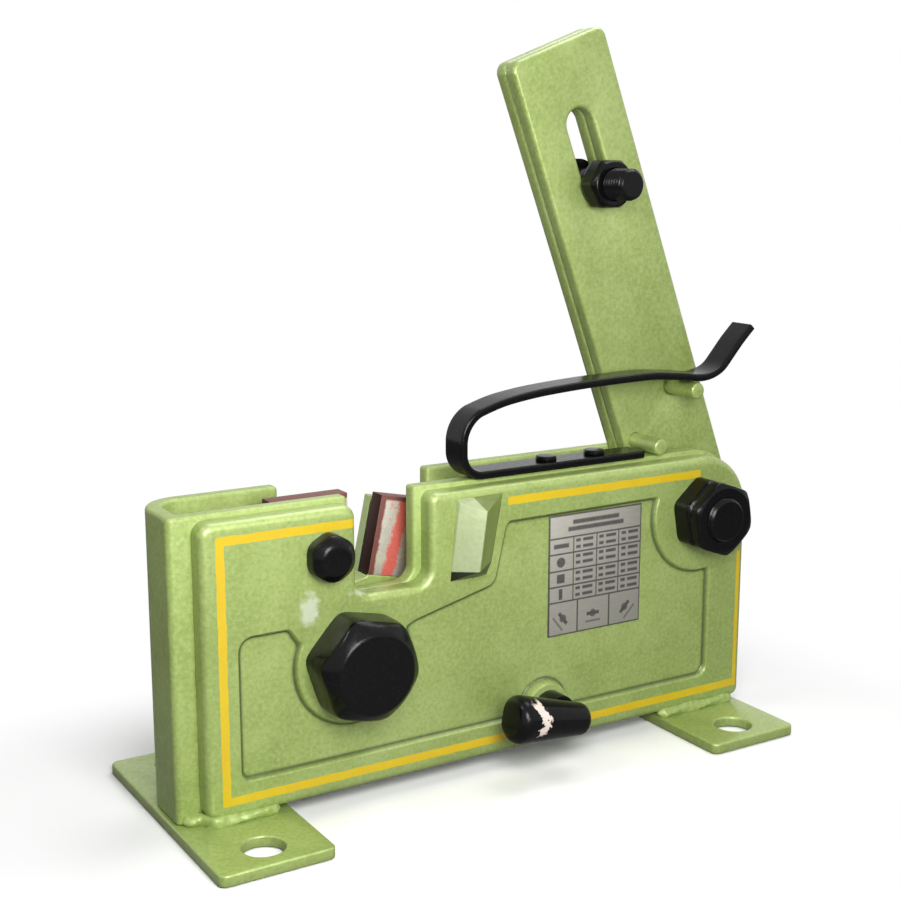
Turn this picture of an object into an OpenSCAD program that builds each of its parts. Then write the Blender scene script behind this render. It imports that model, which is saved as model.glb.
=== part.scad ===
// Hand bar cutter: a lever with teeth on its foot turns a toothed jaw, which carries
// the moving blade past a fixed blade in a notched, U-shaped frame on two feet.
// Sizes in millimetres. x runs along the front plate from its left edge, y goes back
// from its front face and z goes up from its lower edge.

/* [Frame] */
// Length of the raised front plate
plate_len = 400; // [395:1:430]
// Height of the raised front plate
plate_h = 175; // [172:1:185]
// Thickness of the raised front plate
plate_t = 12; // [9:0.5:16]
// Depth of the panel sunk into the front plate
panel_sink = 3; // [1:0.5:5]
// Thickness of the frame walls
wall_t = 10; // [8:0.5:14]
// Clear width between the front and rear wall
cavity = 34; // [32:0.5:42]
// Height of the walls above the front plate
rim = 3; // [1:0.5:6]
// How far the closed left end stands past the plate
end_out = 14; // [11:0.5:20]
// Outer radius of the rear left bend
bend_r = 25; // [16:1:30]
// Outer radius of the front left bend
nose_r = 4; // [3:0.5:10]
// Radius of the plate's left corners
corner_r = 8; // [3:0.5:14]

/* [Notch] */
// Distance of the front notch from the plate's left edge
notch_x = 97.5; // [94:0.5:99]
// Width of the front notch
notch_w = 50; // [47:0.5:54]
// Lip of the frame wall that shows right of the front plate's notch
notch_lip = 5.5; // [2:0.5:8]
// Height of the front notch's floor
notch_floor = 119.5; // [118:0.5:126]
// Radius in the notch's corners
notch_r = 10; // [4:0.5:14]
// Width of the rear notch
rear_notch_w = 104; // [90:1:112]
// Height of the rear notch's floor
rear_notch_floor = 108; // [104:1:116]

/* [Feet] */
// Width of a foot
foot_w = 70; // [60:1:80]
// Length of a foot, front to rear
foot_len = 180; // [160:1:220]
// Thickness of a foot
foot_t = 7; // [6:0.5:12]
// Height of the plate's lower edge above the feet
foot_gap = 3; // [2:0.5:5]
// Distance between the middles of the feet
foot_pitch = 345; // [330:1:355]
// How far the left foot stands out past the plate
foot_out = 16.5; // [15:0.5:25]
// Diameter of the base bolt holes
base_hole_d = 25; // [18:0.5:28]
// Distance between the holes of one foot
base_hole_pitch = 135; // [120:1:150]
// Leg of the weld beads
bead = 5; // [3:0.5:7]

/* [Blades] */
// Side of a square blade
blade_size = 50; // [46:0.5:54]
// Thickness of a blade
blade_t = 12; // [10:0.5:14]
// Gap between the blades' faces
shear_gap = 0.2; // [0.1:0.05:0.4]
// How far the fixed blade stands into the notch
fixed_blade_in = 5.5; // [3:0.5:8]
// How far the fixed blade stands above the plate
fixed_blade_up = 2.5; // [0:0.5:5]
// Lean of the moving blade from upright
moving_lean = 12; // [10:0.5:14]
// Diameter of the blade screws
blade_screw_d = 16; // [12:0.5:18]
// Width across flats of the blade screw's nut
blade_nut_af = 27; // [24:0.5:30]
// Height of the nut
blade_nut_h = 12; // [10:0.5:14]
// Fixed blade's screw to the right of the blade's middle
blade_screw_right = 0.5; // [0:0.5:5]
// Fixed blade's screw below the blade's middle
blade_screw_down = 5.5; // [0:0.5:8]
// Turn of the nut about its axis
blade_nut_turn = 30; // [0:1:59]

/* [Jaw] */
// Jaw pivot, from the plate's left edge
jaw_x = 95.5; // [94:0.5:97]
// Height of the jaw pivot
jaw_z = 80; // [78:0.5:81]
// Diameter of the jaw pivot bolt
jaw_bolt_d = 36; // [30:1:38]
// Width across flats of the jaw bolt's head
jaw_head_af = 60; // [50:0.5:62]
// Height of the jaw bolt's head
jaw_head_h = 28; // [18:0.5:30]
// Turn of the jaw bolt's head about its axis
jaw_head_turn = 12; // [0:1:59]
// Radius of the jaw's hub
hub_r = 36; // [32:0.5:37]
// Wall of the pivot bushes
bush_wall = 4; // [3:0.5:5]

/* [Lever] */
// Lever pivot, from the plate's left edge
lever_x = 360; // [358:0.5:362]
// Height of the lever pivot
lever_z = 137; // [136:0.5:138]
// Diameter of the lever pivot bolt
lever_bolt_d = 30; // [26:1:32]
// Width across flats of the lever bolt's nuts
lever_nut_af = 46; // [42:0.5:50]
// Height of the full nut
lever_nut_h = 16; // [14:0.5:24]
// Height of the lock nut
lock_nut_h = 8; // [7:0.5:14]
// Turn of the lever bolt's nuts about their axis
lever_nut_turn = 20; // [0:1:59]
// Lean of the lever at rest, to the left
lean = 21; // [20:0.5:22]
// Reach of the lever from its pivot
lever_len = 320; // [300:1:360]
// Edge of the lever left of its pivot line
lever_left = 21; // [20.5:0.5:26]
// Edge of the lever right of its pivot line
lever_right = 54; // [50:0.5:57]
// Width of the handle slot
slot_w = 20.5; // [20.5:0.5:24]
// Handle slot, right of the pivot line
slot_u = 16.5; // [12:0.5:20]
// Lower end of the handle slot, from the pivot
slot_low = 228; // [210:1:240]
// Travel of the clamp bolt in the slot
slot_travel = 40; // [20:1:55]
// Diameter of the clamp bolt
clamp_d = 20; // [14:0.5:20]
// Width across flats of the clamp nut
clamp_af = 30; // [27:0.5:34]
// Height of the clamp nut
clamp_nut_h = 18; // [12:0.5:20]
// How far the clamp bolt stands out of its nut
clamp_out = 18; // [6:0.5:24]
// Diameter of the lever's pins
pin_d = 11; // [8:0.5:12]
// How far the pins stand out of the lever
pin_out = 28; // [22:0.5:30]
// Detent pin, right of the pivot line
detent_u = 29; // [26:0.5:32]
// Detent pin, from the pivot
detent_v = 77; // [74:0.5:80]
// Stop pin, left of the pivot line
stop_u = 12; // [8:0.5:15]

/* [Gear] */
// Teeth of the lever on a full turn
lever_teeth = 14; // [14:1:15]
// Teeth of the jaw on a full turn
jaw_teeth = 48; // [46:1:50]
// Pressure angle of the teeth
pressure_angle = 25; // [22:0.5:27]
// Play between meshing teeth
backlash = 0.6; // [0.4:0.1:1]
// Tooth height above the pitch circle, in modules
tooth_up = 0.8; // [0.7:0.05:0.9]
// Tooth depth below the pitch circle, in modules
tooth_down = 1.05; // [1:0.05:1.15]

/* [Catch] */
// Width of the spring strip
strip_w = 20; // [14:0.5:24]
// Thickness of the spring strip
strip_t = 5; // [3:0.5:6]
// Left end of the strip's bend at mid thickness, from the plate's left edge
bend_x = 176; // [172:1:182]
// Radius of the strip's upper bend, at mid thickness
bend_mid_r = 21; // [18:0.5:22]
// Radius of the strip's lower bend, at mid thickness
base_bend_r = 14; // [10:0.5:15]
// Length of the strip's bolted base, with its bend
base_len = 139; // [120:1:140]
// First bolt of the base, from the bend's left end
catch_bolt_at = 67; // [50:1:72]
// Distance between the bolts of the base
catch_bolt_pitch = 38; // [24:1:40]
// Diameter of the base's bolts
catch_bolt_d = 8; // [6:0.5:8]
// Width across flats of the base's bolts
catch_bolt_af = 13; // [11:0.5:14]
// Distance of the dip past the lever pivot
dip_past = 6; // [4:0.5:8]
// Rise of the arm's tip above the dip
tip_rise = 31.5; // [24:0.5:36]

/* [Bar stop] */
// Left edge of the stop, from the plate's left edge
lug_x = 162; // [158:0.5:163]
// Width of the stop
lug_w = 36; // [34:0.5:40]
// How far the stop's ridge stands out
lug_out = 17; // [12:0.5:20]
// Height of the stop's top above the notch floor
lug_top = 50.5; // [44:0.5:52]
// Height of the stop
lug_h = 41.5; // [36:0.5:46]

/* [Knob] */
// Knob, from the plate's left edge
knob_x = 232.5; // [225:0.5:240]
// Height of the knob's spindle
knob_z = 25; // [24:0.5:34]
// Diameter of the spindle
spindle_d = 16; // [12:0.5:18]
// Diameter of the knob's hub
knob_hub_d = 24; // [22:0.5:30]
// Diameter of the cross handle's thick left end
grip_big_d = 30; // [24:0.5:31]
// Diameter of the cross handle's thin right end
grip_small_d = 21; // [16:0.5:22]
// Length of the cross handle
grip_len = 58; // [54:1:66]
// Slope of the cross handle
grip_tilt = 11; // [6:1:20]
// How far the handle's middle stands off the hub, to the left
grip_shift = 16; // [8:0.5:17]

/* [Capacity plate] */
// Width of the capacity plate
label_w = 74; // [60:1:80]
// Height of the capacity plate
label_h = 80; // [70:1:81]
// Thickness of the capacity plate
label_t = 0.8; // [0.5:0.1:1.5]
// Capacity plate, from the plate's left edge
label_x = 236; // [230:1:240]

/* [Clearances] */
// Running clearance of a pivot, on the radius
run_gap = 0.05; // [0.02:0.01:0.1]
// Clearance of bolts, nuts and bushes in their seats, on the radius
seat_gap = 0.05; // [0.02:0.01:0.1]
// Side clearance of the jaw and lever between the walls
side_gap = 0.4; // [0.3:0.05:0.8]
// Clearance of the pins past the frame and the catch
pin_gap = 0.5; // [0.3:0.1:1]

/* [Hidden] */
$fn = 72;

// Depths of the layers, front to rear
leg_y = plate_t;
inner_y = leg_y + wall_t;
rear_y = inner_y + cavity;
back_y = rear_y + wall_t;
jaw_y = inner_y + blade_t + shear_gap + side_gap;
jaw_t = rear_y - side_gap - jaw_y;
moving_y = inner_y + blade_t + shear_gap;
lever_half_t = jaw_t / 2;
leg_mid_y = leg_y + wall_t / 2;

// Heights
top_z = plate_h + rim;
shell_z = -foot_gap;
ground = foot_gap + foot_t;
mid_y = back_y / 2;
mid_x = foot_w / 2 - foot_out + foot_pitch / 2;

// Gear pair between the pivots
span = [lever_x - jaw_x, lever_z - jaw_z];
centres = norm(span);
mesh_angle = atan2(span[1], span[0]);
gear_module = 2 * centres / (lever_teeth + jaw_teeth);
lever_pitch_r = gear_module * lever_teeth / 2;
jaw_pitch_r = gear_module * jaw_teeth / 2;
lever_root_r = lever_pitch_r - tooth_down * gear_module;
jaw_root_r = jaw_pitch_r - tooth_down * gear_module;
lever_turn = 100;
jaw_turn = lever_turn * lever_teeth / jaw_teeth;
mesh_teeth = 5;

// Fixed blade, square to the notch
fixed_right = notch_x + fixed_blade_in;
fixed_mid = [fixed_right - blade_size / 2, plate_h + fixed_blade_up - blade_size / 2];
fixed_screw = fixed_mid + [blade_screw_right, -blade_screw_down];

// Moving blade, set by its lower corner
moving_corner = [notch_x + 25, notch_floor + 1.5];
edge_up = [sin(moving_lean), cos(moving_lean)];
edge_right = [cos(moving_lean), -sin(moving_lean)];
moving_mid = moving_corner + (edge_up + edge_right) * blade_size / 2;
seat_rim = 6;

// Lever points
lever_u = [cos(lean), sin(lean)];
lever_v = [-sin(lean), cos(lean)];
lever_mid = [lever_x, lever_z];
detent_at = lever_mid + detent_u * lever_u + detent_v * lever_v;
stop_v = (top_z + pin_d / 2 + pin_gap - lever_z + stop_u * sin(lean)) / cos(lean);
stop_at = lever_mid - stop_u * lever_u + stop_v * lever_v;
detent_r = norm(detent_at - lever_mid);
clamp_at = lever_mid + slot_u * lever_u + slot_low * lever_v;

// Catch strip, its mid line from the base over the bend to the tip
strip_y = leg_mid_y - strip_w / 2;
strip_base_z = top_z + strip_t / 2;
split_z = strip_base_z + base_bend_r + 6;
low_mid = [bend_x + base_bend_r, strip_base_z + base_bend_r];
high_mid = [bend_x + bend_mid_r, split_z];
bend_end = 115;
dip = [lever_x + dip_past,
  lever_z + sqrt(pow(detent_r + pin_d / 2 + pin_gap, 2) - dip_past * dip_past) + strip_t / 2 + 0.4];
arm_start = high_mid + bend_mid_r * [cos(bend_end), sin(bend_end)];
crest = dip + [-44, 4];
arm_rise = crest - arm_start;
arm_knots = [
  arm_start - 5 * [sin(bend_end), -cos(bend_end)],
  arm_start,
  arm_start + [0.12 * arm_rise[0], 0.38 * arm_rise[1]],
  arm_start + [0.25 * arm_rise[0], 0.61 * arm_rise[1]],
  arm_start + [0.40 * arm_rise[0], 0.77 * arm_rise[1]],
  arm_start + [0.62 * arm_rise[0], 0.91 * arm_rise[1]],
  arm_start + [0.83 * arm_rise[0], 0.98 * arm_rise[1]],
  crest,
  crest + [14, -1.1],
  dip + [-17, 1.6],
  dip + [-7, 0.2],
  dip,
  dip + [8, 1.6],
  dip + [15.5, tip_rise * 0.175],
  dip + [22.5, tip_rise * 0.41],
  dip + [31, tip_rise * 0.71],
  dip + [40.5, tip_rise],
  dip + [45, tip_rise * 1.14]];

// Bolts
head_chamfer = 0.93;
washer_t = 4;
thread_over = 3;

// Bar stop, knob and plate bosses
lug_z = notch_floor + lug_top;
boss_r = 40;
jaw_pad_r = 38;
knob_boss_r = spindle_d / 2 + 9;
knob_boss_out = 4;
knob_y = -knob_boss_out;
hub_out = 13;

function ring_step(i, n) = (i + n) % n;
function unit(v) = v / norm(v);
function turn_between(a, b) = let (d = b - a) d > 180 ? d - 360 : d < -180 ? d + 360 : d;

// Points of a polygon with each corner rounded to its own radius
function rounded(p, r) = [for (i = [0:len(p) - 1])
  let (a = p[ring_step(i - 1, len(p))], b = p[i], c = p[ring_step(i + 1, len(p))])
  let (u = unit(a - b), v = unit(c - b), half = acos(u * v) / 2)
  let (m = b + unit(u + v) * r[i] / sin(half))
  let (s = b + u * r[i] / tan(half), e = b + v * r[i] / tan(half))
  let (a0 = atan2(s[1] - m[1], s[0] - m[0]), a1 = atan2(e[1] - m[1], e[0] - m[0]))
  let (sweep = turn_between(a0, a1), n = r[i] > 0 ? max(3, ceil(abs(sweep) / 8)) : 0)
  for (k = [0:n]) n == 0 ? b : m + r[i] * [cos(a0 + sweep * k / n), sin(a0 + sweep * k / n)]];

// Smooth line through the inner knots
function spline_at(k, i, t) = 0.5 * (2 * k[i]
  + (k[i + 1] - k[i - 1]) * t
  + (2 * k[i - 1] - 5 * k[i] + 4 * k[i + 1] - k[i + 2]) * t * t
  + (3 * k[i] - k[i - 1] - 3 * k[i + 1] + k[i + 2]) * t * t * t);
function spline(k, n) = concat(
  [for (i = [1:len(k) - 3]) for (j = [0:n - 1]) spline_at(k, i, j / n)], [k[len(k) - 2]]);

// Outline of a strip of thickness t along a line of points
function side_of(l, i, d) =
  let (a = l[max(i - 1, 0)], b = l[min(i + 1, len(l) - 1)], u = unit(b - a))
  l[i] + d * [-u[1], u[0]];
function strip_outline(l, t) = concat(
  [for (i = [0:len(l) - 1]) side_of(l, i, t / 2)],
  [for (i = [len(l) - 1:-1:0]) side_of(l, i, -t / 2)]);

// Half angle of an involute tooth at radius r
function roll(a) = tan(a) * 180 / PI - a;
function tooth_half(r, pitch_r, teeth) =
  90 / teeth - backlash / 4 / pitch_r * 180 / PI
  + roll(pressure_angle) - roll(acos(min(1, pitch_r * cos(pressure_angle) / r)));
function tooth_points(pitch_r, teeth) =
  let (base_r = pitch_r * cos(pressure_angle), root_r = pitch_r - tooth_down * gear_module)
  let (low = max(base_r, root_r - 1), high = pitch_r + tooth_up * gear_module, n = 6)
  let (flank = [for (i = [0:n]) let (r = low + (high - low) * i / n) [r, tooth_half(r, pitch_r, teeth)]])
  let (foot = [root_r - 2, tooth_half(low, pitch_r, teeth)])
  concat([[foot[0] * cos(foot[1]), foot[0] * sin(foot[1])]],
    [for (f = flank) [f[0] * cos(f[1]), f[0] * sin(f[1])]],
    [for (i = [n:-1:0]) [flank[i][0] * cos(flank[i][1]), -flank[i][0] * sin(flank[i][1])]],
    [[foot[0] * cos(foot[1]), -foot[0] * sin(foot[1])]]);

module place() {
  translate([-mid_x, -mid_y, ground]) children();
}

// Extrudes an x-z outline from depth y over thickness t
module along_y(y, t) {
  translate([0, y + t, 0]) rotate([90, 0, 0]) linear_extrude(t) children();
}

// A round bar along y at the point p
module rod(p, d, y, len) {
  translate([p[0], y + len, p[1]]) rotate([90, 0, 0]) cylinder(d = d, h = len);
}

// A cone along y, from diameter d0 at depth y to d1 at its far end
module cone(p, d0, d1, y, len) {
  translate([p[0], y, p[1]]) rotate([-90, 0, 0]) cylinder(d1 = d0, d2 = d1, h = len);
}

// A hexagon along y, turned about its axis, with its corners eased at the front, the rear or both
module hex(p, af, y, len, front, rear, turn = 0) {
  big = af / cos(30);
  ease = len * 0.25;
  intersection() {
    translate([p[0], y + len, p[1]]) rotate([90, turn, 0]) cylinder(d = big, h = len, $fn = 6);
    union() {
      rod(p, big * 1.02, y + (front ? ease : 0), len - (front ? ease : 0) - (rear ? ease : 0));
      if (front) cone(p, af * head_chamfer, big * 1.02, y, ease);
      if (rear) cone(p, big * 1.02, af * head_chamfer, y + len - ease, ease);
    }
  }
}

module ring(p, d_out, d_in, y, len) {
  difference() {
    rod(p, d_out, y, len);
    rod(p, d_in, y - 1, len + 2);
  }
}

// Frame

module shell_plan() {
  inner_x = wall_t - end_out;
  polygon(rounded(
    [[plate_len, leg_y], [-end_out, leg_y], [-end_out, back_y], [plate_len, back_y],
     [plate_len, rear_y], [inner_x, rear_y], [inner_x, inner_y], [plate_len, inner_y]],
    [0, nose_r, bend_r, 0, 0, bend_r - wall_t, 2, 0]));
}

module notch_outline(x, w, floor) {
  high = top_z + 20;
  polygon(rounded([[x, floor], [x + w, floor], [x + w, high], [x, high]], [notch_r, notch_r, 0, 0]));
}

module top_corner_cut() {
  r = plate_len - lever_x;
  translate([plate_len - r, top_z - r]) difference() {
    square(r + 5);
    circle(r);
  }
}

module pivot_holes(y, len) {
  rod([jaw_x, jaw_z], jaw_bolt_d + 2 * seat_gap, y, len);
  rod(lever_mid, lever_bolt_d + 2 * seat_gap, y, len);
}

module front_holes(y, len) {
  pivot_holes(y, len);
  rod(fixed_screw, blade_screw_d + 2 * seat_gap, y, len);
  rod([knob_x, knob_z], spindle_d + 2 * run_gap, y, len);
}

module catch_bolt_holes() {
  for (i = [0, 1])
    translate([bend_x + catch_bolt_at + i * catch_bolt_pitch, leg_mid_y, top_z - 25])
      cylinder(d = catch_bolt_d + 2 * seat_gap, h = 40);
}

module frame_shell() {
  color("olivedrab") place() difference() {
    translate([0, 0, shell_z]) linear_extrude(top_z - shell_z) shell_plan();
    along_y(leg_y - 1, wall_t + 2) notch_outline(notch_x, notch_w - notch_lip, notch_floor);
    along_y(rear_y - 1, wall_t + 2)
      notch_outline(notch_x + notch_w + 30 - rear_notch_w, rear_notch_w, rear_notch_floor);
    along_y(leg_y - 1, back_y - leg_y + 2) top_corner_cut();
    front_holes(leg_y - 1, wall_t + 2);
    pivot_holes(rear_y - 1, wall_t + 2);
    catch_bolt_holes();
  }
}

module plate_outline() {
  notch_end = notch_x + notch_w;
  polygon(rounded(
    [[0, 0], [plate_len, 0], [plate_len, plate_h], [notch_end, plate_h], [notch_end, notch_floor],
     [notch_x, notch_floor], [notch_x, plate_h], [0, plate_h]],
    [corner_r, 6, plate_len - lever_x - 2, 6, notch_r, notch_r, corner_r, corner_r]));
}

// The sunk panel: it runs round the jaw bolt's pad, the bar stop's pad and the lever's boss
module panel_outline() {
  left = 22;
  right = plate_len - 32;
  low = 21;
  lug_end = lug_x + lug_w;
  difference() {
    polygon(rounded(
      [[left, low], [right, low], [right, lever_z - 30], [lever_x - 24, lever_z + 15],
       [lug_end + 5, lever_z + 14], [lug_end - 4, notch_floor - 7],
       [notch_x + notch_w - 10, notch_floor - 21],
       [jaw_x, jaw_z], [jaw_x - jaw_pad_r + 2, notch_floor - 22], [jaw_x - jaw_pad_r - 4, notch_floor - 13],
       [left, notch_floor - 13]],
      [6, 8, 0, 0, 5, 8, 12, 0, 3, 5, 9]));
    translate([jaw_x, jaw_z]) circle(jaw_pad_r);
    translate(lever_mid) circle(boss_r);
    translate([knob_x, knob_z]) circle(knob_boss_r);
  }
}

module front_plate() {
  color("olivedrab") place() difference() {
    union() {
      along_y(0, plate_t) plate_outline();
      rod([knob_x, knob_z], 2 * knob_boss_r, -knob_boss_out, knob_boss_out + plate_t);
    }
    along_y(-1, panel_sink + 1) panel_outline();
    front_holes(-knob_boss_out - 1, plate_t + knob_boss_out + 2);
  }
}

module foot(x) {
  difference() {
    translate([0, 0, -ground]) linear_extrude(foot_t) polygon(rounded(
      [[x, mid_y - foot_len / 2], [x + foot_w, mid_y - foot_len / 2],
       [x + foot_w, mid_y + foot_len / 2], [x, mid_y + foot_len / 2]], [5, 5, 5, 5]));
    for (s = [-1, 1])
      translate([x + foot_w / 2, mid_y + s * base_hole_pitch / 2, -ground - 1])
        cylinder(d = base_hole_d, h = foot_t + 2);
  }
}

module left_foot() {
  color("darkolivegreen") place() foot(-foot_out);
}

module right_foot() {
  color("darkolivegreen") place() foot(foot_pitch - foot_out);
}

module weld(x, w) {
  translate([x, 0, 0]) rotate([90, 0, 90]) linear_extrude(w) {
    polygon([[-bead, shell_z], [leg_y, shell_z], [leg_y, 0], [-bead + foot_gap, 0]]);
    polygon([[back_y, shell_z], [back_y + bead, shell_z], [back_y, shell_z + bead]]);
  }
}

module foot_welds() {
  right_start = foot_pitch - foot_out;
  color("yellowgreen") place() {
    weld(corner_r, foot_w - foot_out - corner_r);
    weld(right_start, min(foot_w, plate_len - 6 - right_start));
  }
}

module bar_stop() {
  ridge = lug_x + lug_w * 0.41;
  low = lug_z - lug_h;
  root = low - 0.55 * lug_out;
  crest = lug_z - 0.33 * lug_out;
  left = lug_x + 0.08 * lug_w;
  right = lug_x + lug_w;
  side_lean = 0.08;
  front_lean = 0.09;
  color("yellowgreen") place() intersection() {
    translate([0, 0, crest])
      multmatrix([[1, 0, side_lean, 0], [0, 1, -front_lean, 0], [0, 0, 1, 0], [0, 0, 0, 1]])
        translate([0, 0, -lug_h - lug_out]) linear_extrude(lug_h + 2 * lug_out) polygon(
          [[left, lug_out / 2], [left, -0.25 * lug_out], [ridge - 0.5, -lug_out],
           [ridge + 0.5, -lug_out], [right, 0], [right, lug_out / 2]]);
    along_y(-2 * lug_out, 2 * lug_out) polygon(
      [[lug_x - lug_out, root], [lug_x + 0.55 * lug_w, root], [right, root + 15],
       [right + lug_out, root + 30], [right + lug_out, lug_z], [lug_x - lug_out, lug_z]]);
    translate([lug_x - lug_out, 0, 0]) rotate([90, 0, 90]) linear_extrude(lug_w + 2 * lug_out) polygon(
      [[0, root], [-lug_out, low], [-lug_out, crest], [0, lug_z]]);
  }
}

module fixed_blade() {
  color("silver") place() difference() {
    along_y(inner_y, blade_t) translate(fixed_mid) square(blade_size, center = true);
    rod(fixed_screw, blade_screw_d + 2 * seat_gap, inner_y - 1, blade_t + 2);
    cone(fixed_screw, blade_screw_d + 2 * seat_gap, 1.9 * blade_screw_d,
      inner_y + blade_t - 0.45 * blade_screw_d, 0.45 * blade_screw_d + 0.01);
  }
}

// A countersunk screw along y with its head flush with a blade's face
module sunk_screw(p, head_y, tip_y) {
  s = head_y > tip_y ? -1 : 1;
  head_h = 0.45 * blade_screw_d - 0.4;
  big = 1.9 * blade_screw_d - 1.2;
  difference() {
    union() {
      if (s < 0) cone(p, blade_screw_d, big, head_y - head_h, head_h);
      if (s > 0) cone(p, big, blade_screw_d, head_y, head_h);
      rod(p, blade_screw_d, min(head_y, tip_y), abs(head_y - tip_y));
    }
    translate([p[0], head_y, p[1]]) rotate([90, 0, 0])
      cylinder(d = blade_screw_d * 0.72, h = blade_screw_d * 0.7, center = true, $fn = 6);
  }
}

module fixed_blade_screw() {
  color("dimgray") place() sunk_screw(fixed_screw, inner_y + blade_t - 0.3, -blade_nut_h + 4);
}

module fixed_blade_nut() {
  color("black") place() difference() {
    hex(fixed_screw, blade_nut_af, -blade_nut_h, blade_nut_h, true, false, blade_nut_turn);
    rod(fixed_screw, blade_screw_d + 2 * seat_gap, -blade_nut_h + 3.5, blade_nut_h);
  }
}

module jaw_pivot_bolt() {
  end_y = back_y + washer_t + 0.8 * jaw_bolt_d + thread_over;
  color("black") place() {
    hex([jaw_x, jaw_z], jaw_head_af, -jaw_head_h, jaw_head_h, true, false, jaw_head_turn);
    rod([jaw_x, jaw_z], jaw_bolt_d, -1, end_y + 1);
  }
}

module jaw_pivot_washer() {
  color("dimgray") place()
    ring([jaw_x, jaw_z], jaw_head_af + 8, jaw_bolt_d + 2 * seat_gap, back_y, washer_t);
}

module jaw_pivot_nut() {
  color("black") place() difference() {
    hex([jaw_x, jaw_z], jaw_head_af, back_y + washer_t, 0.8 * jaw_bolt_d, false, true);
    rod([jaw_x, jaw_z], jaw_bolt_d + 2 * seat_gap, back_y, 2 * jaw_bolt_d);
  }
}

module jaw_spacer() {
  color("dimgray") place()
    ring([jaw_x, jaw_z], jaw_bolt_d + 18, jaw_bolt_d + 2 * seat_gap, inner_y, jaw_y - inner_y - side_gap / 4);
}

module lever_pivot_bolt() {
  head_y = back_y + washer_t;
  front = lever_nut_h + lock_nut_h + thread_over;
  color("black") place() {
    hex(lever_mid, lever_nut_af, head_y, 0.63 * lever_bolt_d, false, true);
    rod(lever_mid, lever_bolt_d, -front + 2, head_y + front - 1);
    cone(lever_mid, lever_bolt_d - 4, lever_bolt_d, -front, 2);
  }
}

module lever_pivot_washer() {
  color("dimgray") place()
    ring(lever_mid, lever_nut_af + 6, lever_bolt_d + 2 * seat_gap, back_y, washer_t);
}

module lever_pivot_nut() {
  color("black") place() difference() {
    hex(lever_mid, lever_nut_af, -lever_nut_h, lever_nut_h, true, false, lever_nut_turn);
    rod(lever_mid, lever_bolt_d + 2 * seat_gap, -lever_nut_h - 1, lever_nut_h + 2);
  }
}

module lever_lock_nut() {
  color("black") place() difference() {
    hex(lever_mid, lever_nut_af, -lever_nut_h - lock_nut_h, lock_nut_h, true, true, lever_nut_turn);
    rod(lever_mid, lever_bolt_d + 2 * seat_gap, -lever_nut_h - lock_nut_h - 1, lock_nut_h + 2);
  }
}

module lever_spacer() {
  color("dimgray") place()
    ring(lever_mid, lever_bolt_d + 16, lever_bolt_d + 2 * seat_gap, inner_y, jaw_y - inner_y - side_gap / 4);
}

module catch_base() {
  low_bend = [for (i = [0:12]) low_mid + base_bend_r * [cos(180 + 7.5 * i), sin(180 + 7.5 * i)]];
  line = concat([[bend_x, split_z]], low_bend, [[bend_x + base_len, strip_base_z]]);
  color("black") place() difference() {
    along_y(strip_y, strip_w) polygon(strip_outline(line, strip_t));
    catch_bolt_holes();
  }
}

module catch_bolt(i) {
  x = bend_x + catch_bolt_at + i * catch_bolt_pitch;
  head_z = top_z + strip_t;
  translate([x, leg_mid_y, head_z]) intersection() {
    cylinder(d = catch_bolt_af / cos(30), h = 0.4 * catch_bolt_d, $fn = 6);
    cylinder(d1 = catch_bolt_af / cos(30) * 1.3, d2 = catch_bolt_af * head_chamfer, h = 0.4 * catch_bolt_d);
  }
  translate([x, leg_mid_y, top_z - 24]) cylinder(d = catch_bolt_d, h = strip_t + 25);
}

module catch_bolt_left() {
  color("black") place() catch_bolt(0);
}

module catch_bolt_right() {
  color("black") place() catch_bolt(1);
}

module capacity_plate() {
  color("gainsboro") place() translate([label_x, panel_sink - label_t, lever_z + 12.5 - label_h])
    cube([label_w, label_t, label_h]);
}

// Jaw, drawn at rest

module moving_square(size) {
  translate(moving_mid) rotate(-moving_lean) square(size, center = true);
}

// Teeth of a gear about the point m, each one step on from the last
module gear_teeth(m, first, step, n, pitch_r, teeth, y, t) {
  for (i = [0:n - 1])
    along_y(y, t) translate(m) rotate(first + i * step) polygon(tooth_points(pitch_r, teeth));
}

module jaw_blank() {
  pitch = 360 / jaw_teeth;
  first = mesh_angle + pitch / 2;
  high = first + pitch / 2;
  low = first - mesh_teeth * pitch - pitch / 2;
  mid = [jaw_x, jaw_z];
  reach = 2 * jaw_root_r;
  seat_top = moving_corner + (blade_size - 3) * edge_up;
  rod(mid, 2 * hub_r, jaw_y, jaw_t);
  intersection() {
    rod(mid, 2 * jaw_root_r, jaw_y, jaw_t);
    along_y(jaw_y, jaw_t) polygon([mid, mid + reach * [cos(low), sin(low)],
      mid + reach * [cos(mesh_angle), sin(mesh_angle)], mid + reach * [cos(high), sin(high)]]);
  }
  along_y(jaw_y, jaw_t) polygon([mid, mid + [-10, hub_r - 4], moving_corner - 1.5 * edge_up, seat_top,
    seat_top + (blade_size + seat_rim) * edge_right,
    mid + (jaw_root_r - 4) * [cos(high - 2), sin(high - 2)]]);
  gear_teeth(mid, first, -pitch, mesh_teeth + 1, jaw_pitch_r, jaw_teeth, jaw_y, jaw_t);
}

module jaw_arm() {
  color("yellowgreen") place() difference() {
    jaw_blank();
    rod([jaw_x, jaw_z], jaw_bolt_d + 2 * bush_wall + 2 * seat_gap, jaw_y - 1, jaw_t + 2);
    along_y(jaw_y - 1, moving_y + blade_t - jaw_y + 1)
      translate(moving_corner) rotate(-moving_lean) translate([-20, 0])
        square([blade_size + 20 + seat_gap, blade_size + 20]);
    rod(moving_mid, blade_screw_d + 2 * seat_gap, jaw_y - 1, jaw_t + 2);
    cone(moving_mid, blade_screw_d + 2 * seat_gap, 1.9 * blade_screw_d,
      jaw_y + jaw_t - 0.45 * blade_screw_d, 0.45 * blade_screw_d + 0.01);
  }
}

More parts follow.
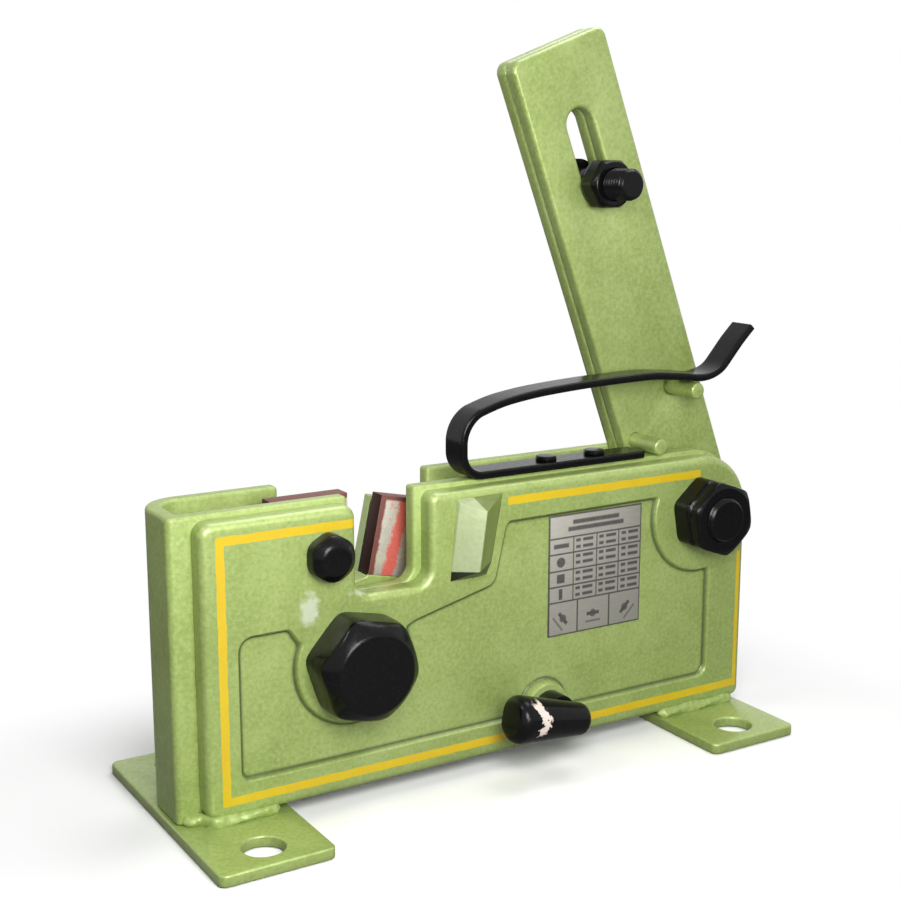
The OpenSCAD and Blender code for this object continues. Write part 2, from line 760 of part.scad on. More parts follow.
module jaw_bush() {
  color("goldenrod") place() ring([jaw_x, jaw_z], jaw_bolt_d + 2 * bush_wall,
    jaw_bolt_d + 2 * run_gap, jaw_y, jaw_t);
}

module moving_blade() {
  color("silver") place() difference() {
    along_y(moving_y, blade_t) moving_square(blade_size);
    rod(moving_mid, blade_screw_d + 2 * seat_gap, moving_y + blade_t * 0.25, blade_t);
  }
}

module moving_blade_screw() {
  color("dimgray") place() sunk_screw(moving_mid, jaw_y + jaw_t - 0.3, moving_y + blade_t * 0.25 + 0.4);
}

// Lever, drawn at rest

module lever_bar() {
  translate(lever_mid) rotate(lean) difference() {
    polygon(rounded([[-lever_left, 0], [lever_right, 0], [lever_right, lever_len], [-lever_left, lever_len]],
      [0, 0, 7, 7]));
    translate([slot_u - slot_w / 2, slot_low]) square([slot_w, slot_travel]);
    translate([slot_u, slot_low]) circle(d = slot_w);
    translate([slot_u, slot_low + slot_travel]) circle(d = slot_w);
  }
}

module lever_plate(y, t) {
  difference() {
    union() {
      along_y(y, t) lever_bar();
      rod(lever_mid, 2 * lever_root_r, y, t);
      gear_teeth(
        lever_mid, mesh_angle + 180, 360 / lever_teeth, mesh_teeth, lever_pitch_r, lever_teeth, y, t);
    }
    rod(lever_mid, lever_bolt_d + 2 * bush_wall + 2 * seat_gap, y - 1, t + 2);
    rod(detent_at, pin_d + 2 * seat_gap, y - 1, t + 2);
    rod(stop_at, pin_d + 2 * seat_gap, y - 1, t + 2);
  }
}

module lever_front_plate() {
  color("olivedrab") place() lever_plate(jaw_y, lever_half_t);
}

module lever_rear_plate() {
  color("darkolivegreen") place() lever_plate(jaw_y + lever_half_t, lever_half_t);
}

module lever_bush() {
  color("goldenrod") place()
    ring(lever_mid, lever_bolt_d + 2 * bush_wall, lever_bolt_d + 2 * run_gap, jaw_y, jaw_t);
}

module lever_pin(p) {
  rod(p, pin_d, jaw_y - pin_out + 1, pin_out - 1 + jaw_t);
  cone(p, pin_d - 2, pin_d, jaw_y - pin_out, 1);
}

module detent_pin() {
  color("olivedrab") place() lever_pin(detent_at);
}

module stop_pin() {
  color("olivedrab") place() lever_pin(stop_at);
}

module clamp_bolt() {
  head_y = jaw_y + jaw_t + washer_t;
  front = clamp_nut_h + clamp_out;
  color("black") place() {
    hex(clamp_at, clamp_af, head_y, 0.62 * clamp_d, false, true);
    rod(clamp_at, clamp_d, jaw_y - front + 2, head_y - jaw_y + front - 1);
    cone(clamp_at, clamp_d - 4, clamp_d, jaw_y - front, 2);
  }
}

module clamp_washer() {
  color("dimgray") place()
    ring(clamp_at, clamp_af + 2, clamp_d + 2 * seat_gap, jaw_y + jaw_t, washer_t);
}

module clamp_nut() {
  color("black") place() difference() {
    hex(clamp_at, clamp_af, jaw_y - clamp_nut_h, clamp_nut_h, true, true);
    rod(clamp_at, clamp_d + 2 * seat_gap, jaw_y - clamp_nut_h - 1, clamp_nut_h + 2);
  }
}

// Spring catch, its arm above the middle of the bend

module catch_arm() {
  steps = 12;
  high_bend = [for (i = [0:steps - 1]) let (a = 180 - (180 - bend_end) * i / steps)
    high_mid + bend_mid_r * [cos(a), sin(a)]];
  line = concat(high_bend, spline(arm_knots, 5));
  color("black") place() along_y(strip_y, strip_w) intersection() {
    polygon(strip_outline(line, strip_t));
    translate([bend_x - bend_mid_r, split_z]) square([plate_len, plate_len]);
  }
}

// Knob below the panel

module knob_spindle() {
  color("black") place() {
    rod([knob_x, knob_z], spindle_d, knob_y - hub_out, inner_y - knob_y + hub_out + 6);
    rod([knob_x, knob_z], knob_hub_d, knob_y - hub_out, hub_out);
  }
}

// Half outline of the cross handle: flat ends with rounded rims, joined by a taper
function grip_profile(half, big_r, small_r, ease) = concat(
  [[0, -half]],
  [for (a = [0:15:90]) [big_r - ease + ease * sin(a), -half + ease - ease * cos(a)]],
  [for (a = [90:-15:0]) [small_r - ease + ease * sin(a), half - ease + ease * cos(a)]],
  [[0, half]]);

module knob_handle() {
  ease = 0.3 * grip_small_d;
  flat_y = knob_y - hub_out;
  color("black") place() difference() {
    translate([knob_x, flat_y - grip_small_d / 2 + 1, knob_z]) rotate([0, grip_tilt, 0])
      translate([-grip_shift, 0, 0]) rotate([0, 90, 0])
        rotate_extrude() polygon(grip_profile(grip_len / 2, grip_big_d / 2, grip_small_d / 2, ease));
    translate([knob_x - 2 * grip_len, flat_y, knob_z - grip_len])
      cube([4 * grip_len, grip_big_d, 2 * grip_len]);
  }
}

module knob_collar() {
  color("dimgray") place()
    ring([knob_x, knob_z], spindle_d + 10, spindle_d + 2 * seat_gap, inner_y + 0.3, 5);
}

frame_shell();
front_plate();
left_foot();
right_foot();
foot_welds();
bar_stop();
fixed_blade();
fixed_blade_screw();
fixed_blade_nut();
jaw_pivot_bolt();
jaw_pivot_washer();
jaw_pivot_nut();
jaw_spacer();
lever_pivot_bolt();
lever_pivot_washer();
lever_pivot_nut();
lever_lock_nut();
lever_spacer();
catch_base();
catch_bolt_left();
catch_bolt_right();
capacity_plate();
jaw_arm();
jaw_bush();
moving_blade();
moving_blade_screw();
lever_front_plate();
lever_rear_plate();
lever_bush();
detent_pin();
stop_pin();
clamp_bolt();
clamp_washer();
clamp_nut();
catch_arm();
knob_spindle();
knob_handle();
knob_collar();
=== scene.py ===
# %% [markdown]
# # A bench bar cutter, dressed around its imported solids
# The machine is a U-shaped steel frame on two feet. A lever at the right turns a toothed
# jaw inside the frame, and the jaw carries a square blade past a fixed one. The solids
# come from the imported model, so every piece here goes where the drawing says.
# The drawing's own millimetres are kept below: x along the front plate from its left
# edge, y back from its front face, z up from its lower edge.

# %% Load the frame
import math

import bpy
import numpy as np
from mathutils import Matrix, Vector, geometry


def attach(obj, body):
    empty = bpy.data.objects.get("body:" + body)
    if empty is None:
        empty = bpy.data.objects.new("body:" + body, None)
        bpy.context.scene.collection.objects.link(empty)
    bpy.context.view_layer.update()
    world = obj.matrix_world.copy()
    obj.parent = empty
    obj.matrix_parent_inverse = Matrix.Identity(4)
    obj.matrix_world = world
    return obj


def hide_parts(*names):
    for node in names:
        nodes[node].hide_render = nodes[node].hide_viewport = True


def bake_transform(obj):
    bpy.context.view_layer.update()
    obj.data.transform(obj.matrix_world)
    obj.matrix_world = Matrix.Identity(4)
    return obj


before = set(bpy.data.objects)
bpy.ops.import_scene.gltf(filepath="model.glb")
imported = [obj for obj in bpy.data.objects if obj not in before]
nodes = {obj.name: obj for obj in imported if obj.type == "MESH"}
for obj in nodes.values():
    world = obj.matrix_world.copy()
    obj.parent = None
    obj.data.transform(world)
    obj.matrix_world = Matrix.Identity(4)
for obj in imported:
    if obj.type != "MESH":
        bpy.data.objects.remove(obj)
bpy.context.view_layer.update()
ORIGIN = np.array([191.0, 33.0, -10.0])


def place(points_mm):
    """Drawing millimetres to metres of the shared frame: take the origin off, divide by 1000."""
    return (np.asarray(points_mm, float) - ORIGIN) / 1000.0


# %% [markdown]
# ## Camera
# The camera was worked out from the edges of the plate, the feet and the frame's rim: it
# stands in front and to the left, above the machine, and looks slightly down.

# %% Camera
CAMERA_AT = (-0.4792, -0.7697, 0.3828)
CAMERA_LOOK = (0.5105, 0.8374, -0.1954)
FOCAL_PIXELS, FRAME_PIXELS = 1471.22, 900.0
SENSOR = 36.0

camera_data = bpy.data.cameras.new("camera")
camera_data.sensor_width = SENSOR
camera_data.lens = FOCAL_PIXELS / FRAME_PIXELS * SENSOR
camera = bpy.data.objects.new("camera", camera_data)
camera.location = CAMERA_AT
camera.rotation_mode = "QUATERNION"
camera.rotation_quaternion = Vector(CAMERA_LOOK).to_track_quat("-Z", "Y")
bpy.context.scene.collection.objects.link(camera)
bpy.context.scene.camera = camera
print("lens", round(camera_data.lens, 2), "mm")

# %% [markdown]
# ## Shader sums as Python
# A finish is a small graph of nodes. Written node by node it is hard to read, so a
# `Value` wraps one output and turns + - * / into Math nodes, and `Finish.node` makes any
# other node from its type, its settings and its inputs.


# %% Shader helpers
class Value:
    """A number that varies over a surface; sums on it add Math nodes."""

    def __init__(self, finish, socket):
        self.finish = finish
        self.socket = socket

    def maths(self, operation, *others):
        """One Math node: this value and the others, in order."""
        inputs = dict(enumerate((self,) + others))
        return self.finish.node("ShaderNodeMath", {"operation": operation}, inputs)

    def __add__(self, other):
        return self.maths("ADD", other)

    def __mul__(self, other):
        return self.maths("MULTIPLY", other)

    def __sub__(self, other):
        return self.maths("SUBTRACT", other)

    def __rsub__(self, other):
        return self.maths("MULTIPLY", -1.0).maths("ADD", other)

    def __truediv__(self, other):
        return self.maths("DIVIDE", other)

    __radd__ = __add__
    __rmul__ = __mul__

    def above(self, edge, soft):
        """0 below the edge and 1 above it, over a soft width: a Map Range with smooth ends."""
        return self.finish.node(
            "ShaderNodeMapRange",
            {"interpolation_type": "SMOOTHSTEP"},
            {"Value": self, "From Min": edge - soft / 2, "From Max": edge + soft / 2},
        )

    def inside(self, low, high, soft):
        """1 between low and high, 0 outside, over a soft width."""
        return self.above(low, soft) * (1 - self.above(high, soft))

    def near(self, middle, half, soft):
        """1 within half of the middle, 0 outside, over a soft width."""
        return 1 - (self - middle).maths("ABSOLUTE").above(half, soft)


class Finish:
    """A material whose graph is built by Python sums."""

    def __init__(self, name, **constants):
        self.material = bpy.data.materials.new(name)
        self.material.use_nodes = True
        self.tree = self.material.node_tree
        self.shader = self.tree.nodes["Principled BSDF"]
        for socket, value in constants.items():
            self.shader.inputs[socket.replace("_", " ")].default_value = value

    def node(self, kind, settings=None, inputs=None, out=0):
        """Any node: settings first, then values or links for its sockets; returns an output."""
        made = self.tree.nodes.new(kind)
        for key, value in (settings or {}).items():
            setattr(made, key, value)
        for key, value in (inputs or {}).items():
            if isinstance(value, Value):
                self.tree.links.new(value.socket, made.inputs[key])
            else:
                made.inputs[key].default_value = value
        return Value(self, made.outputs[out])

    def give(self, socket, value):
        """Links a value to one of the shader's own sockets."""
        self.tree.links.new(value.socket, self.shader.inputs[socket])

    def spot(self):
        """The point on the piece, in the drawing's millimetres."""
        raw = self.node("ShaderNodeTexCoord", out=3)
        scaled = self.node(
            "ShaderNodeVectorMath",
            {"operation": "MULTIPLY_ADD"},
            {0: raw, 1: (1000.0,) * 3, 2: tuple(ORIGIN)},
        )
        return scaled

    def parts(self, vector):
        """The x, y and z of a vector."""
        split = self.tree.nodes.new("ShaderNodeSeparateXYZ")
        self.tree.links.new(vector.socket, split.inputs[0])
        return [Value(self, o) for o in split.outputs]

    def noise(self, vector, size_mm, detail=2.0, rough=0.5):
        """Soft noise from 0 to 1 whose lumps are about size_mm across."""
        return self.node(
            "ShaderNodeTexNoise",
            {},
            {"Vector": vector, "Scale": 1.0 / size_mm, "Detail": detail, "Roughness": rough},
        )

    def cells(self, vector, size_mm):
        """Distance to the nearest of many scattered points, about size_mm apart, over size_mm."""
        return self.node("ShaderNodeTexVoronoi", {}, {"Vector": vector, "Scale": 1.0 / size_mm})

    def mix(self, share, first, second):
        """A blend of two colours: the first where share is 0, the second where it is 1."""
        return self.node(
            "ShaderNodeMix",
            {"data_type": "RGBA"},
            {
                "Factor": share,
                6: first if isinstance(first, Value) else (*first, 1.0),
                7: second if isinstance(second, Value) else (*second, 1.0),
            },
            out=2,
        )

    def bump(self, height_mm, strength):
        """Small relief from a height in millimetres."""
        made = self.node(
            "ShaderNodeBump", {}, {"Height": height_mm, "Strength": strength, "Distance": 0.001}
        )
        self.give("Normal", made)


def largest(masks):
    """The largest of several masks at each place: a chain of Maximum nodes."""
    best, *others = masks
    for mask in others:
        best = best.maths("MAXIMUM", mask)
    return best


print("shader helpers ready")

# %% [markdown]
# ## Hammered green paint
# The castings and plates wear a metallic green paint that dries with fine dimples and a
# slightly cloudy tone. Two noises make the clouds, a field of cells makes the dimples,
# and a fine noise makes the flakes. The front plate also carries a hand-painted yellow
# line, which is a mask in the drawing's x and z. Light and shade are painted into two of
# the greens. The front plate has painted shade along the foot of its panel's step and a
# painted highlight up and left of the jaw bolt. The bar stop has a painted highlight on
# its left face, where the paint is also rubbed, painted shade on its right flank and a
# painted shadow under its foot.

# %% Green paint
GREEN = (0.295, 0.385, 0.105)
GREEN_PALE = (0.44, 0.53, 0.22)
GREEN_DEEP = (0.15, 0.205, 0.045)
# Dark green for the painted shade in the front plate's creases.
GREEN_SHADE = (0.035, 0.055, 0.012)
YELLOW = (0.60, 0.46, 0.006)
YELLOW_DEEP = (0.56, 0.35, 0.005)
LINE_HALF, LINE_THIN, LINE_SOFT, LINE_DEPTH = 2.6, 1.6, 0.5, 3.5
LINE_LEFT, LINE_RIGHT, LINE_LOW, LINE_TOP = 12.0, 394.6, 10.5, 164.4
# Pale tone for painted highlights, which on the bar stop also stands for rubbed paint.
WORN_AND_SHEEN = (0.62, 0.66, 0.52)
GLARE_AT = ((66.0, 117.0, 7.0, 11.0), (104.0, 122.5, 12.0, 3.0))
# Near black for the painted shadow under the bar stop.
STOP_SHADOW_TONE = (0.010, 0.013, 0.004)
STOP_CREST, STOP_FOOT = (177.0, 164.4), (162.0, 125.4)
STOP_LEAN, STOP_FOOT_RISE = 0.08, 0.1


def green_paint(name, lined=False, matt=0.0, light_and_wear=None):
    """Green base, paler and deeper clouds, dimples as bump; lined adds the yellow line, painted crevice
    shade and a painted highlight, and the last argument adds painted light.
    """
    f = Finish(name, Coat_Weight=0.45 * (1 - matt), Coat_Roughness=0.16)
    p = f.spot()
    cloud = f.noise(p, 70.0, 4.0, 0.6)
    patch = f.noise(p, 16.0, 3.0, 0.6)
    fleck = f.noise(p, 2.6, 2.0, 0.6)
    grain = f.noise(p, 0.9, 1.0)
    dimple = f.cells(p, 3.4)
    tone = f.mix(cloud.above(0.56, 0.30) * 0.25, GREEN, GREEN_PALE)
    tone = f.mix((1 - cloud).above(0.56, 0.26) * 0.22, tone, GREEN_DEEP)
    tone = f.mix((1 - patch).above(0.58, 0.20) * 0.10, tone, GREEN_DEEP)
    tone = f.mix(patch.above(0.60, 0.20) * 0.10, tone, GREEN_PALE)
    tone = f.mix(fleck.above(0.58, 0.20) * 0.28, tone, GREEN_PALE)
    tone = f.mix((1 - fleck).above(0.60, 0.20) * 0.26, tone, GREEN_DEEP)
    rough = 0.40 + 0.18 * matt + fleck * 0.12
    metal = 0.28 - 0.22 * matt + fleck * 0.08
    if lined:
        # Painted shade: darker green along the foot of the panel's step and round the pads.
        painted_crevice_shade = f.node("ShaderNodeAttribute", {"attribute_name": "painted_crevice_shade"}, out=2)
        tone = f.mix(painted_crevice_shade * 0.88, tone, GREEN_SHADE)
        # Painted highlight: pale glare spots up and left of the jaw bolt.
        tone = f.mix(glare_spots(f, p), tone, WORN_AND_SHEEN)
        line = yellow_line(f, p)
        tone = f.mix(line, tone, f.mix(patch, YELLOW, YELLOW_DEEP))
        metal = metal * (1 - line)
    # Painted light from the last argument: on the bar stop, highlight, shade and shadow.
    if light_and_wear:
        tone = light_and_wear(f, p, tone)
    f.give("Base Color", tone)
    f.give("Roughness", rough)
    f.give("Metallic", metal)
    f.bump(dimple.maths("POWER", 2.0) * 0.12 + fleck * 0.14 + grain * 0.03, 0.6)
    return f.material


def glare_spots(f, p):
    """Mask of a painted highlight: pale glare spots up and left of the jaw bolt, discs with a very ragged
    edge.
    """
    x, y, z = f.parts(p)
    rag = f.noise(p, 6.0, 4.0, 0.7) - 0.5
    discs = []
    for mid_x, mid_z, wide, tall in GLARE_AT:
        u, v = (x - mid_x) / wide, (z - mid_z) / tall
        discs.append(1 - ((u * u + v * v).maths("SQRT") + rag * 2.2).above(0.8, 0.7))
    return largest(discs) * 0.7


def stop_light_and_wear(f, p, tone):
    """Bar stop's painted light: a painted highlight left of its leaning ridge, where the paint is also
    rubbed, painted shade right of it, and a painted shadow on the sloping foot.
    """
    x, y, z = f.parts(p)
    right = (x - (z - STOP_CREST[1]) * STOP_LEAN).above(STOP_CREST[0], 1.0)
    # Painted highlight left of the ridge, where the paint is also rubbed; painted shade on the flank right
    # of it.
    tone = f.mix((1 - right) * 0.40, tone, WORN_AND_SHEEN)
    tone = f.mix(right * 0.85, tone, GREEN_DEEP)
    # Painted shadow on the sloping foot below the stop.
    foot = STOP_FOOT[1] - STOP_FOOT[0] * STOP_FOOT_RISE
    painted_shadow = 1 - (z - x * STOP_FOOT_RISE).above(foot, 0.8)
    return f.mix(painted_shadow, tone, STOP_SHADOW_TONE)


def yellow_line(f, p):
    """Mask of the line on the plate's border: bands about fixed x or z, with wavering edges."""
    wobble = f.noise(p, 9.0, 2.0) - 0.5
    x, y, z = f.parts(p)

    def band(across, middle, half, waver, along, start, end, soft):
        return across.near(middle + wobble * waver, half, LINE_SOFT) * along.inside(start, end, soft)

    bands = (
        band(x, LINE_LEFT, LINE_HALF, 1.2, z, 8.4, 166.4, 0.5),
        band(z, LINE_LOW, LINE_HALF, 1.2, x, 10.0, 396.5, 0.5),
        band(x, LINE_RIGHT, LINE_THIN, 0.8, z, 8.4, 106.0, 1.0),
        band(z, LINE_TOP, LINE_HALF, 1.2, x, 10.0, 98.0, 0.5),
        band(z, LINE_TOP, LINE_HALF, 1.2, x, 203.0, 358.0, 0.8),
    )
    return largest(bands) * (1 - y.above(LINE_DEPTH, 0.5))


paint = green_paint("hammered_green")
shell_paint = green_paint("hammered_green_matt", matt=0.5)
plate_paint = green_paint("hammered_green_lined_painted_light", lined=True)
# The bar stop's green carries a painted highlight, painted shade and a painted shadow.
stop_paint = green_paint("hammered_green_painted_light", light_and_wear=stop_light_and_wear)
print("green paint ready")

# %% [markdown]
# ## Black, steel and the rest
# Bolts, catch and knob are brushed over with gloss black, thick enough to round their
# edges. The blades are ground steel with smears of red paint.

# %% Black paint and metals
BLACK, BLACK_DUST = (0.003, 0.003, 0.0032), (0.020, 0.020, 0.021)
# Tones and place of the pale band across the knob's handle.
BAND_TONE, BAND_TONE_PALE = (0.62, 0.50, 0.43), (0.78, 0.70, 0.64)
BAND_X, BAND_Z, BAND_HALF, BAND_DEPTH = 207.0, 33.0, 3.2, -27.0
STEEL, STEEL_PALE = (0.30, 0.30, 0.31), (0.48, 0.48, 0.48)
BRONZE, BRONZE_PALE = (0.52, 0.34, 0.13), (0.70, 0.50, 0.24)


def black_paint(name, pale_mask=None):
    """Near black and glossy, with a dimpled bump; an optional mask maker gives a pale patch."""
    f = Finish(name, Specular_IOR_Level=0.16)
    p = f.spot()
    fleck = f.noise(p, 3.4, 2.0)
    dust = f.noise(p, 1.1, 2.0, 0.7)
    tone = f.mix(dust.above(0.68, 0.12) * 0.5, BLACK, BLACK_DUST)
    if pale_mask:
        tone = f.mix(pale_mask(f, p), tone, f.mix(dust, BAND_TONE, BAND_TONE_PALE))
    f.give("Base Color", tone)
    f.give("Roughness", 0.13 + fleck * 0.16)
    f.bump(fleck * 0.16 + dust * 0.07, 0.6)
    return f.material


def bare_steel(name):
    """Turned grey steel with fine scratches."""
    f = Finish(name, Metallic=1.0)
    p = f.spot()
    scratch = f.noise(p, 1.2, 4.0, 0.7)
    f.give("Base Color", f.mix(scratch, STEEL, STEEL_PALE))
    f.give("Roughness", 0.30 + scratch * 0.2)
    f.bump(scratch * 0.03, 0.4)
    return f.material


def bronze_metal(name):
    """Plain bronze of the pivot bushes."""
    f = Finish(name, Metallic=1.0)
    p = f.spot()
    tarnish = f.noise(p, 6.0, 3.0)
    f.give("Base Color", f.mix(tarnish, BRONZE, BRONZE_PALE))
    f.give("Roughness", 0.28 + tarnish * 0.2)
    return f.material


def knob_pale_band(f, p):
    """A pale band across the handle, a third of the way from its thick end, with a ragged edge."""
    x, y, z = f.parts(p)
    rag = f.noise(p, 4.0, 3.0, 0.6) - 0.5
    across = (z - BAND_Z) * 0.5
    band = (x + across.maths("ABSOLUTE") + rag * 15.0).near(BAND_X, BAND_HALF, 1.0)
    return band * (z + rag * 6.0).inside(24.0, 44.0, 2.0) * (1 - y.above(BAND_DEPTH, 2.0))


black = black_paint("gloss_black")
pale_banded = black_paint("gloss_black_pale_band", knob_pale_band)
steel = bare_steel("turned_steel")
bronze = bronze_metal("bush_bronze")
print("metals ready")

# %% [markdown]
# ## Soft edges on the CAD solids
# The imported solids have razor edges. A Weld joins their loose triangles, a planar Decimate
# makes one face of each flat side, a Bevel rounds the edges, and a small geometry graph
# shades smoothly wherever two faces meet at less than 32 degrees. A second graph weights
# edges, so that a bevel can thin out where it has no room. The solids' own meshes are left
# alone.

# %% Edge softening
SMOOTH_BELOW = math.radians(32.0)
FLAT_WITHIN = math.radians(0.2)
WELD_WITHIN = 1e-6


def geometry_graph(name):
    """A geometry graph with nothing in it but its way in and its way out."""
    group = bpy.data.node_groups.new(name, "GeometryNodeTree")
    for way in ("INPUT", "OUTPUT"):
        group.interface.new_socket("Geometry", in_out=way, socket_type="NodeSocketGeometry")
    return group, group.nodes.new("NodeGroupInput"), group.nodes.new("NodeGroupOutput")


def shading_graph():
    """Geometry graph: faces smooth, edges sharp where the face angle is above the limit."""
    group, start, end = geometry_graph("soft_shading")
    angle = group.nodes.new("GeometryNodeInputMeshEdgeAngle")
    sharp = group.nodes.new("FunctionNodeCompare")
    sharp.operation = "GREATER_THAN"
    sharp.inputs[1].default_value = SMOOTH_BELOW
    normal = group.nodes.new("GeometryNodeSetMeshNormal")
    normal.mode = "SHARPNESS"
    normal.inputs["Remove Custom"].default_value = True
    link = group.links.new
    link(start.outputs[0], normal.inputs["Mesh"])
    link(angle.outputs["Unsigned Angle"], sharp.inputs[0])
    link(sharp.outputs[0], normal.inputs["Edge Sharpness"])
    link(normal.outputs[0], end.inputs[0])
    return group


SOFT_SHADING = shading_graph()


def shade_softly(obj):
    """Adds the shading graph as the last modifier."""
    obj.modifiers.new("shading", "NODES").node_group = SOFT_SHADING


def weight_graph(name, rise=None, boxes=()):
    """Geometry graph: bevel weights for the sharp edges, by the place of each edge's middle.

    rise is a pair of heights between which the weight grows from none to full. Each box gives
    limits along x and along y, a pair of heights, and the share of the weight that is left to the
    edges in it at the upper height. All are drawing millimetres.
    """
    group, start, end = geometry_graph(name)
    store = group.nodes.new("GeometryNodeStoreNamedAttribute")
    store.data_type, store.domain = "FLOAT", "EDGE"
    store.inputs["Name"].default_value = "bevel_weight_edge"
    angle = group.nodes.new("GeometryNodeInputMeshEdgeAngle")
    split = group.nodes.new("ShaderNodeSeparateXYZ")
    link = group.links.new
    link(group.nodes.new("GeometryNodeInputPosition").outputs[0], split.inputs[0])

    def in_frame(limits, axis):
        return [float(limit - ORIGIN[axis]) / 1000.0 for limit in limits]

    def combine(operation, left, right):
        node = group.nodes.new("ShaderNodeMath")
        node.operation = operation
        for socket, value in zip(node.inputs, (left, right)):
            if isinstance(value, float):
                socket.default_value = value
            else:
                link(value, socket)
        return node.outputs[0]

    def ramp(heights):
        node = group.nodes.new("ShaderNodeMapRange")
        low, high = in_frame(heights, 2)
        node.inputs["From Min"].default_value = low
        node.inputs["From Max"].default_value = high
        link(split.outputs[2], node.inputs["Value"])
        return node.outputs[0]

    weight = combine("GREATER_THAN", angle.outputs["Unsigned Angle"], SMOOTH_BELOW)
    if rise:
        weight = combine("MULTIPLY", weight, ramp(rise))
    for across, along, heights, share in boxes:
        inside = ramp(heights)
        for axis, limits in enumerate((across, along)):
            low, high = in_frame(limits, axis)
            over = combine("GREATER_THAN", split.outputs[axis], low)
            under = combine("LESS_THAN", split.outputs[axis], high)
            inside = combine("MULTIPLY", inside, combine("MULTIPLY", over, under))
        kept = combine("ADD", combine("MULTIPLY", inside, share - 1.0), 1.0)
        weight = combine("MULTIPLY", weight, kept)
    link(weight, store.inputs["Value"])
    link(start.outputs[0], store.inputs["Geometry"])
    link(store.outputs[0], end.inputs[0])
    return group


def soften(name, width_mm, material, segments=3, marks=None, clamp=False):
    """Weld, bevel and shade a CAD node, and give it its finish.

    marks is a graph that weights the edges; clamp holds the bevel back where it would overlap.
    """
    obj = nodes[name]
    weld = obj.modifiers.new("weld", "WELD")
    weld.merge_threshold = WELD_WITHIN
    flat = obj.modifiers.new("flat", "DECIMATE")
    flat.decimate_type = "DISSOLVE"
    flat.angle_limit = FLAT_WITHIN
    if marks:
        obj.modifiers.new("marks", "NODES").node_group = marks
    bevel = obj.modifiers.new("bevel", "BEVEL")
    bevel.width = width_mm / 1000.0
    bevel.segments = segments
    bevel.use_clamp_overlap = clamp
    bevel.loop_slide = False
    bevel.limit_method = "WEIGHT" if marks else "ANGLE"
    bevel.angle_limit = SMOOTH_BELOW
    shade_softly(obj)
    dress(obj, material)


def dress(obj, material):
    """One material on the whole piece."""
    obj.data.materials.clear()
    obj.data.materials.append(material)


EDGES = {
    "frame_shell": (2.2, shell_paint),
    "left_foot": (1.2, paint),
    "right_foot": (1.2, paint),
    "bar_stop": (1.2, stop_paint),
    "jaw_arm": (0.8, paint),
    "detent_pin": (0.5, paint),
    "stop_pin": (0.5, paint),
    "jaw_pivot_washer": (0.5, black),
    "lever_pivot_washer": (0.5, black),
    "catch_bolt_left": (0.4, black),
    "catch_bolt_right": (0.4, black),
    "clamp_washer": (0.4, black),
    "knob_spindle": (0.8, black),
    "knob_handle": (0.8, pale_banded),
    "fixed_blade_screw": (0.3, steel),
    "moving_blade_screw": (0.3, steel),
    "jaw_spacer": (0.4, steel),
    "lever_spacer": (0.4, steel),
    "knob_collar": (0.4, steel),
    "jaw_bush": (0.3, bronze),
    "lever_bush": (0.3, bronze),
}
# The front wall's rim holds the catch's two bolts, so its long edges are only broken there and
# the holes stay sharp. The lever's edges fade out where it enters the frame.
RIM_HOLES = ((230.0, 295.0), (12.3, 21.7), (177.0, 177.5), 0.0)
RIM_EDGES = ((150.0, 411.0), (11.5, 22.5), (135.0, 177.5), 0.36)
LEVER_FADE, LEVER_EDGE, LEVER_SEGMENTS = (181.0, 205.0), 2.6, 4
LEVER_PLATES = ("lever_front_plate", "lever_rear_plate")
MARKS = {"frame_shell": weight_graph("rim", boxes=(RIM_HOLES, RIM_EDGES))}
for node_name, (edge_mm, finish) in EDGES.items():
    tight = node_name == "bar_stop"
    soften(node_name, edge_mm, finish, marks=MARKS.get(node_name), clamp=tight)
above_frame = weight_graph("above_frame", rise=LEVER_FADE)
for node_name in LEVER_PLATES:
    soften(node_name, LEVER_EDGE, paint, LEVER_SEGMENTS, marks=above_frame)
print("softened", len(EDGES) + len(LEVER_PLATES), "solids")

# %% [markdown]
# ## Blades
# Both blades are square plates of tool steel. Red paint was brushed on them and has worn:
# the moving blade has dry dark red near its left edge and a bright smear down its face.
# The left side of each blade is painted shade, near black and fully metallic.

# %% Blades
BLADE, BLADE_PALE = (0.36, 0.34, 0.29), (0.66, 0.63, 0.55)
# Near black tones for the painted shade on the blades' left sides.
SIDE_SHADE, SIDE_SHADE_PALE = (0.010, 0.008, 0.006), (0.035, 0.018, 0.013)
RED, RED_PALE = (0.40, 0.045, 0.03), (0.62, 0.15, 0.12)
RED_DRY, RED_DRY_PALE = (0.085, 0.022, 0.016), (0.17, 0.05, 0.035)
MOVING_MID, MOVING_LEAN = (152.15, 140.26), 12.0
FIXED_MID, FIXED_LEAN = (78.0, 152.5), 0.0
BLADE_EDGE = 0.5


